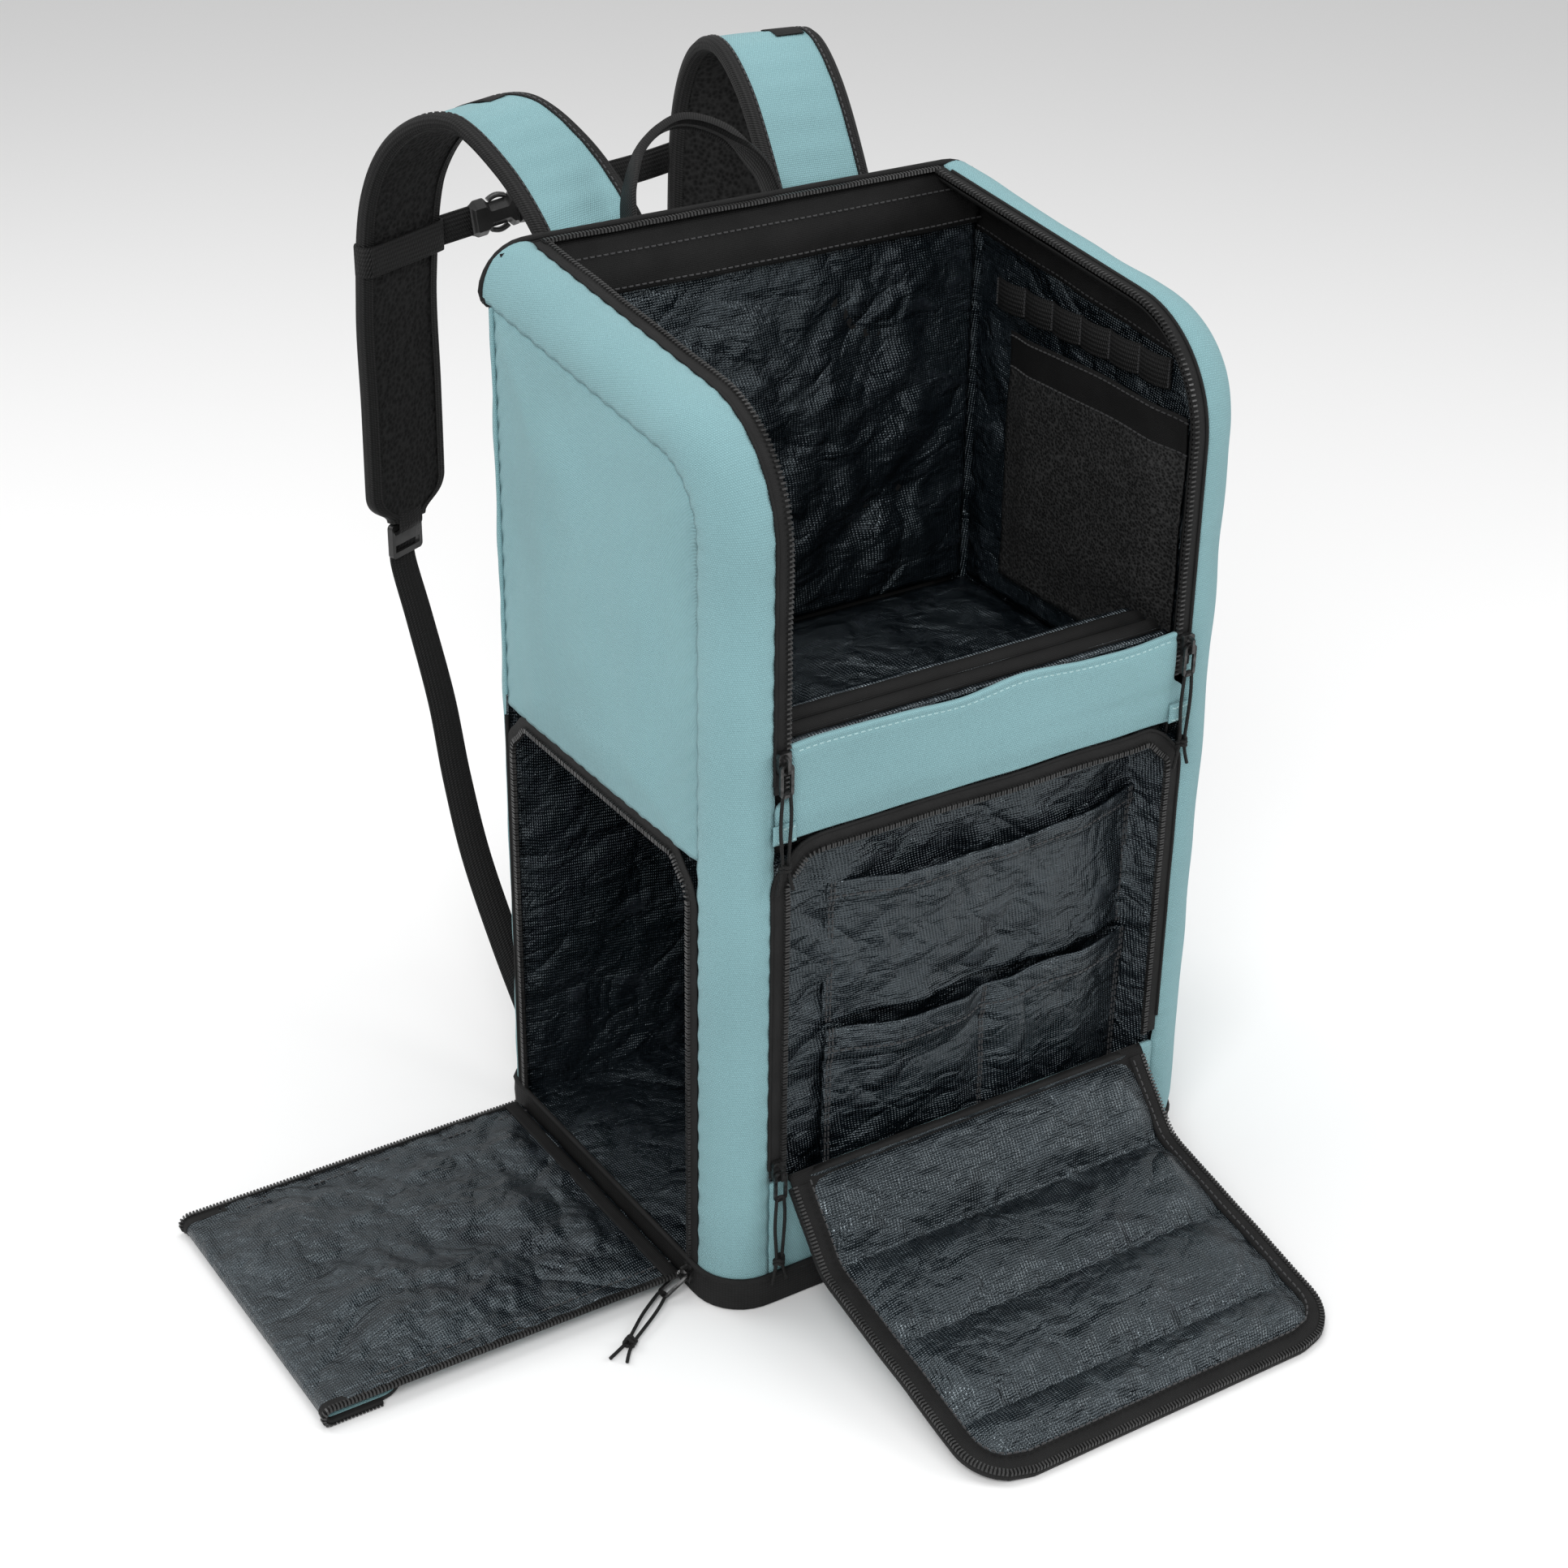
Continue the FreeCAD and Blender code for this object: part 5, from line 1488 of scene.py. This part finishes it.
def strap_stations(route, steps):
    turns = [turn for _, turn in route]

    def across_at(index):
        share = index / steps
        knot = min(int(share), len(turns) - 2)
        return sideways(turns[knot] + (turns[knot + 1] - turns[knot]) * (share - knot))

    line = smooth_line(metres(point for point, _ in route), steps)
    return ribbon_stations(line, across_at)


def strap_outline(share):
    half = 0.035 * (1 - 0.58 * smooth_step(share, 0.885, 1.0))
    return half * (0.90 + 0.10 * smooth_step(share, 0.0, 0.06))


def make_strap(route, word):
    tip, turn = route[-1]
    stations = strap_stations(route + [((tip[0] - 1, tip[1] - 1, tip[2] - 22), turn)], 16)
    if stations[40][2].z < 0:
        stations = [(point, across, -up) for point, across, up in stations]

    def section(share):
        half = strap_outline(share)
        crown_high, wave = 0.0046, 0.0004 * math.sin(share * 150)
        top = [(half * (1 - 2 * i / 12),
                0.0030 + (crown_high - 0.0030) * math.sin(math.pi * i / 12) ** 0.5
                + wave * math.sin(math.pi * i / 12)) for i in range(13)]
        under = [(-half * (1 - 2 * i / 12), -0.0028 - 0.0020 * math.sin(math.pi * i / 12) ** 0.5)
                 for i in range(13)]
        return top + under

    paint = [0] * 12 + [2] + [1] * 12 + [2]
    body = sweep("strap_" + word, stations, section, ["teal", "mesh", "black"], paint, angle=75)
    attach(body, "harness", "strap_fabric", "shoulder_strap_" + word)
    last = len(stations) - 1
    for side in (-1, 1):
        places = [(point + across * side * (strap_outline(i / last) - 0.0015), across, up)
                  for i, (point, across, up) in enumerate(stations)]
        edge = "left" if side < 0 else "right"
        binding = sweep(f"strap_{word}_binding_{edge}", places,
                        [(-0.0052 * side, 0.0048), (0.0, 0.0050), (0.0032 * side, 0.0026),
                         (0.0036 * side, 0.0), (0.0032 * side, -0.0028), (0.0, -0.0050),
                         (-0.0052 * side, -0.0050)][::side],
                        ["webbing"])
        attach(binding, "harness", "strap_fabric")
        seam = [point - across * side * 0.0040 + up * 0.0048 for point, across, up in places]
        stitches(f"strap_{word}_stitches_{edge}", seam, lambda spot: nearest_up(spot, places),
                 "harness", slot="strap_fabric")
    start = [(point + up * 0.0052, across, up) for point, across, up in stations[:10]]
    patch = sweep(f"strap_{word}_stay", start, strip_section(0.050, 0.0014), ["webbing"])
    attach(patch, "harness", "strap_fabric")
    first = 50 if word == "left" else 46
    label = [(point + up * 0.0052 + across * 0.016, across, up)
             for point, across, up in stations[first:first + 10]]
    tag = sweep(f"strap_{word}_patch", label, strip_section(0.020, 0.0008), ["black"])
    attach(tag, "harness", "strap_fabric")


def nearest_up(spot, places):
    return min(places, key=lambda place: (place[0] - spot).length)[2]


def make_strap_webbing(route, turn_start, word):
    line = smooth_line(metres(route), 12)
    last = len(line) - 1
    stations = ribbon_stations(line, lambda index: sideways(turn_start * (1 - index / last)))
    band = sweep("strap_tail_" + word, stations, strip_section(0.022, 0.0018), ["webbing"])
    start, end = Vector(route[2]) / 1000, line[-1]
    blend_piece(band, "harness", "bag", start, end, "webbing", "strap_webbing_" + word)
    side = 1 if end.x > 0 else -1
    tab = small_pad(f"anchor_tab_{word}", Vector((side * 0.142, 0.1392, 0.041)),
                    (0.042, 0.004, 0.048), "webbing")
    attach(tab, "bag", "base_fabric", *(["anchor_tabs"] if side < 0 else []))
    zigzag = [Vector((side * 0.126 + 0.030 * i / 12 * side, 0.1418, 0.030 + 0.020 * (i % 2)))
              for i in range(13)]
    stitches(f"anchor_stitches_{word}", zigzag, Y_AXIS, slot="webbing")


def small_pad(name, middle, size, cloth, rounding=0.3):
    """A crowned closed pad: a rounded box whose faces swell a little."""
    points, faces = [], []
    steps = 10
    rings = []
    for level in range(steps + 1):
        turn = math.pi * level / steps
        rings.append((math.sin(turn) ** rounding if 0 < level < steps else 0.0, -math.cos(turn)))
    sides = 32
    for shrink, level in rings:
        for index in range(sides):
            turn = 2 * math.pi * index / sides
            x = math.copysign(abs(math.cos(turn)) ** rounding, math.cos(turn))
            z = math.copysign(abs(math.sin(turn)) ** rounding, math.sin(turn))
            deep = math.copysign(abs(level) ** rounding, level)
            offset = Vector((x * shrink * size[0], deep * size[1], z * shrink * size[2]))
            points.append(middle + offset / 2)
    for level in range(steps):
        for index in range(sides):
            after = (index + 1) % sides
            faces.append((level * sides + index, level * sides + after,
                          (level + 1) * sides + after, (level + 1) * sides + index))
    corners = [(points[corner].x, points[corner].z) for face in faces for corner in face]
    return new_piece(name, points, faces, corners, [cloth], None, 40.0)


def make_handle():
    route = [(-72, 150, 592), (-66, 159, 611), (-48, 173, 631), (-20, 180, 640), (8, 173, 631),
             (26, 159, 611), (32, 150, 592)]
    across = Vector((0, 0.78, -0.62)).normalized()
    stations = ribbon_stations(smooth_line(metres(route), 12), lambda index: across)

    def section(share):
        middle = smooth_step(min(share, 1 - share), 0.18, 0.32)
        wide, thick = 0.020 - 0.006 * middle, 0.0030 + 0.0028 * middle
        return strip_section(wide, thick, 0.3 + 0.6 * middle)

    grip = sweep("handle_webbing", stations, section, ["webbing"])
    attach(grip, "grab_handle", "webbing", "grab_handle")


# ---------------------------------------------------------------- chest strap

CHEST_ORIGIN = Vector((-0.122, 0.313, 0.549))
CHEST_ALONG = Vector((0.9914, 0, 0.1305))
CHEST_UP = Vector((-0.1305, 0, 0.9914))


def chest(x, y, z):
    return CHEST_ORIGIN + CHEST_ALONG * x + Vector((0, y, 0)) + CHEST_UP * z


def make_chest_strap():
    line = [chest(0.0765 + 0.152 * i / 40, 0.0016 * math.sin(i / 6), 0.0006 * math.sin(i / 4))
            for i in range(41)]
    stations = [(point, CHEST_UP, Y_AXIS) for point in line]
    band = sweep("chest_band", stations, strip_section(0.020, 0.0018), ["webbing"])
    attach(band, "chest_plug", "webbing", "chest_webbing")
    along = sideways(23)
    out = Vector((-along.y, along.x, 0))
    ring = []
    half, deep, corner = 0.0375, 0.0066, 0.005
    for cx, cy, first in ((1, 1, 0), (-1, 1, 90), (-1, -1, 180), (1, -1, 270)):
        for i in range(5):
            angle = math.radians(first + 90 * i / 4)
            ring.append(along * (cx * (half - corner) + corner * math.cos(angle))
                        + out * (cy * (deep - corner) + corner * math.sin(angle)))
    centre = Vector((-0.154, 0.2985, 0.549))
    loop = [centre + point for point in even_path(ring + [ring[0]], 0.004)]
    tongue = [(chest(0.001 + 0.030 * i / 8, 0, 0), CHEST_UP, Y_AXIS) for i in range(9)]
    strip = sweep("chest_tongue", tongue, strip_section(0.020, 0.0020), ["webbing"])
    attach(strip, "harness", "webbing")
    stations = []
    for index, point in enumerate(loop):
        ahead = (loop[(index + 1) % len(loop)] - loop[index - 1]).normalized()
        stations.append((point, Z_AXIS, ahead.cross(Z_AXIS)))
    sleeve = sweep("chest_sleeve_band", stations, strip_section(0.020, 0.0020), ["webbing"], loop=True)
    attach(sleeve, "harness", "webbing", "chest_sleeve")


def buckle_part(name, profile, deep, body, node):
    """A moulded buckle half: profile lists (distance along, half height) along the strap."""
    stations, halves = [], []
    for (x0, h0), (x1, h1) in zip(profile, profile[1:]):
        for i in range(6):
            stations.append((chest(x0 + (x1 - x0) * i / 6, 0, 0), CHEST_UP, Y_AXIS))
            halves.append(h0 + (h1 - h0) * smooth_step(i / 6, 0, 1))
    stations.append((chest(profile[-1][0], 0, 0), CHEST_UP, Y_AXIS))
    halves.append(profile[-1][1])
    last = len(stations) - 1

    def section(share):
        half = halves[round(share * last)]
        ease = 0.35 + 0.65 * smooth_step(min(share, 1 - share), 0.0, 0.12)
        return strip_section(2 * half, deep * ease, 0.45)

    shell = sweep(name, stations, section, ["plastic"], angle=35)
    return attach(shell, body, "black_plastic", node)


def make_buckle():
    buckle_part("buckle_socket_shell",
                [(0.026, 0.0105), (0.030, 0.0125), (0.036, 0.0125), (0.040, 0.0085),
                 (0.052, 0.0085), (0.056, 0.0120), (0.060, 0.0120)],
                0.0105, "harness", "buckle_socket")
    buckle_part("buckle_plug_shell", [(0.0608, 0.0118), (0.068, 0.0128), (0.0765, 0.0115)],
                0.0080, "chest_plug", "buckle_plug")
    for word, side in (("low", -1), ("high", 1)):
        line = [chest(0.040 + 0.0125 * i / 8, 0, side * (0.0100 + 0.0018 * math.sin(math.pi * i / 8)))
                for i in range(9)]
        arm = sweep("buckle_arm_" + word, frames_along(line, Y_AXIS),
                    strip_section(0.0030, 0.0050, 0.4), ["plastic"])
        attach(arm, "chest_plug", "black_plastic")


LOCKS = {"left": ((-0.164, 0.289), 24, (-0.1630, 0.2905, 0.374)),
         "right": ((0.078, 0.281), -18, (0.0775, 0.2825, 0.374))}


def make_lock_loops():
    """A short webbing loop hangs each ladder lock from its strap's tip, passing round the lock's lower
    bar."""
    for word, ((x, y), turn, tip) in LOCKS.items():
        across = sideways(turn)
        out = Vector((-across.y, across.x, 0))
        bar = Vector((x, y, 0.3645))
        top = Vector(tip) + Vector((0, 0, 0.008))
        front = [top + out * 0.0015, bar + out * 0.0036 + Vector((0, 0, 0.004)),
                 bar + out * 0.0030 - Vector((0, 0, 0.0015)), bar - Vector((0, 0, 0.0038)),
                 bar - out * 0.0030 - Vector((0, 0, 0.0015)),
                 bar - out * 0.0036 + Vector((0, 0, 0.004)), top - out * 0.0015]
        stations = ribbon_stations(smooth_line(front, 6), lambda index, across=across: across)
        loop = sweep("lock_loop_" + word, stations, strip_section(0.0225, 0.0016), ["webbing"])
        attach(loop, "harness", "webbing")


# ---------------------------------------------------------------- back of the bag

def simulate(piece, pressure, cap):
    """Inflates a closed pad as cloth for 20 frames; no point moves further than cap."""
    rest = [vertex.co.copy() for vertex in piece.data.vertices]
    scene = bpy.context.scene
    cloth = piece.modifiers.new("cloth", "CLOTH")
    cloth.settings.use_pressure = True
    cloth.settings.uniform_pressure_force = pressure
    cloth.settings.effector_weights.gravity = 0.0
    cloth.settings.quality = 5
    cloth.point_cache.frame_start, cloth.point_cache.frame_end = 1, 20
    for step in range(1, 21):
        scene.frame_set(step)
    apply_modifiers(piece)
    for vertex, start in zip(piece.data.vertices, rest):
        move = vertex.co - start
        if move.length > cap:
            vertex.co = start + move.normalized() * cap
    scene.frame_set(1)


PAD_PRESSURE = 4.0
PAD_CAP = 0.006                         # the simulation moves no point of a pad further than this


def make_back_pad(node, name, seams_at):
    """An air mesh pad, inflated by cloth simulation, then quilted with sewn channels."""
    low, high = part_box(node)
    middle, size = (low + high) / 2, high - low
    flat_size = (size.x - 0.008, size.y - 0.007, size.z - 0.008)
    pad = small_pad(name, middle, flat_size, "mesh", rounding=0.38)
    remesh = pad.modifiers.new("remesh", "REMESH")
    remesh.mode = "VOXEL"
    remesh.voxel_size = 0.0042
    apply_modifiers(pad)
    simulate(pad, PAD_PRESSURE, PAD_CAP)
    for vertex in pad.data.vertices:
        if vertex.co.y > middle.y:
            gap = min(abs(vertex.co.z - seam) for seam in seams_at)
            vertex.co.y -= 0.0048 * (1 - smooth_step(gap, 0.0, 0.010))
        vertex.co.y = min(max(vertex.co.y, low.y - 0.0004), high.y + 0.004)
    pad.data.shade_smooth()
    if not pad.data.materials:
        pad.data.materials.append(MATERIALS["mesh"])
    soften(pad)
    attach(pad, "bag", "air_mesh", node)


def make_back_pads():
    for word in ("left", "right"):
        low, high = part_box("back_pad_" + word)
        seams = [low.z + (high.z - low.z) * share for share in (0.33, 0.66)]
        make_back_pad("back_pad_" + word, "pad_" + word, seams)
    low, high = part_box("lumbar_pad")
    make_back_pad("lumbar_pad", "pad_lumbar", [(low.z + high.z) / 2])
    low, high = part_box("strap_yoke")
    middle, size = (low + high) / 2, high - low
    yoke = small_pad("yoke_pad", middle, size, "black", rounding=0.25)
    attach(yoke, "bag", "base_fabric", "strap_yoke")
    for number, z in enumerate((low.z + 0.006, high.z - 0.006)):
        line = [Vector((low.x + 0.01 + (size.x - 0.02) * i / 40, high.y + 0.0002, z))
                for i in range(41)]
        stitches(f"yoke_stitches_{number}", line, Y_AXIS, slot="base_fabric")


# ---------------------------------------------------------------- everything together

def dress_nodes():
    """Gives the CAD nodes that stay in view their own materials."""
    cloths = {"base_panel": "base", "frame_sheet": "black", "ladder_locks": "plastic"}
    for pull in PULLS:
        cloths[pull + "_slider"] = "metal"
        cloths[pull + "_ring"] = "metal"
    for node, cloth in cloths.items():
        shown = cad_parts[node]
        for slot in shown.material_slots:
            slot.material = MATERIALS[cloth]


make_studio()
for side, word in ((-1, "left"), (1, "right")):
    make_gusset(side, word)
    make_rear_corner(side, word)
    make_main_zip(side, word)
make_side(-1, "left", DIVIDER_Z)
make_side(1, "right", BASE_TOP)
make_rear_seams()
make_back()
make_base()
make_front_band()
make_band_tabs()
make_skirt()
make_pocket_zip()
make_door_zip()
make_inside_walls()
make_boot_room()
make_pocket_tub()
make_organizer("organizer_cloth_upper", -0.095, 0.135, 0.172, 0.272, -0.115, "organizer_upper")
make_organizer("organizer_cloth_lower", -0.095, 0.135, 0.010, 0.169, -0.117, "organizer_lower",
               peak=0.007, split=0.020)
make_inner_pocket()
make_flap()
make_door()
make_lid()
make_strap(LEFT_STRAP, "left")
make_strap(RIGHT_STRAP, "right")
make_strap_webbing(LEFT_WEBBING, 24, "left")
make_strap_webbing(RIGHT_WEBBING, -18, "right")
make_handle()
make_chest_strap()
make_buckle()
make_lock_loops()
make_back_pads()
dress_nodes()
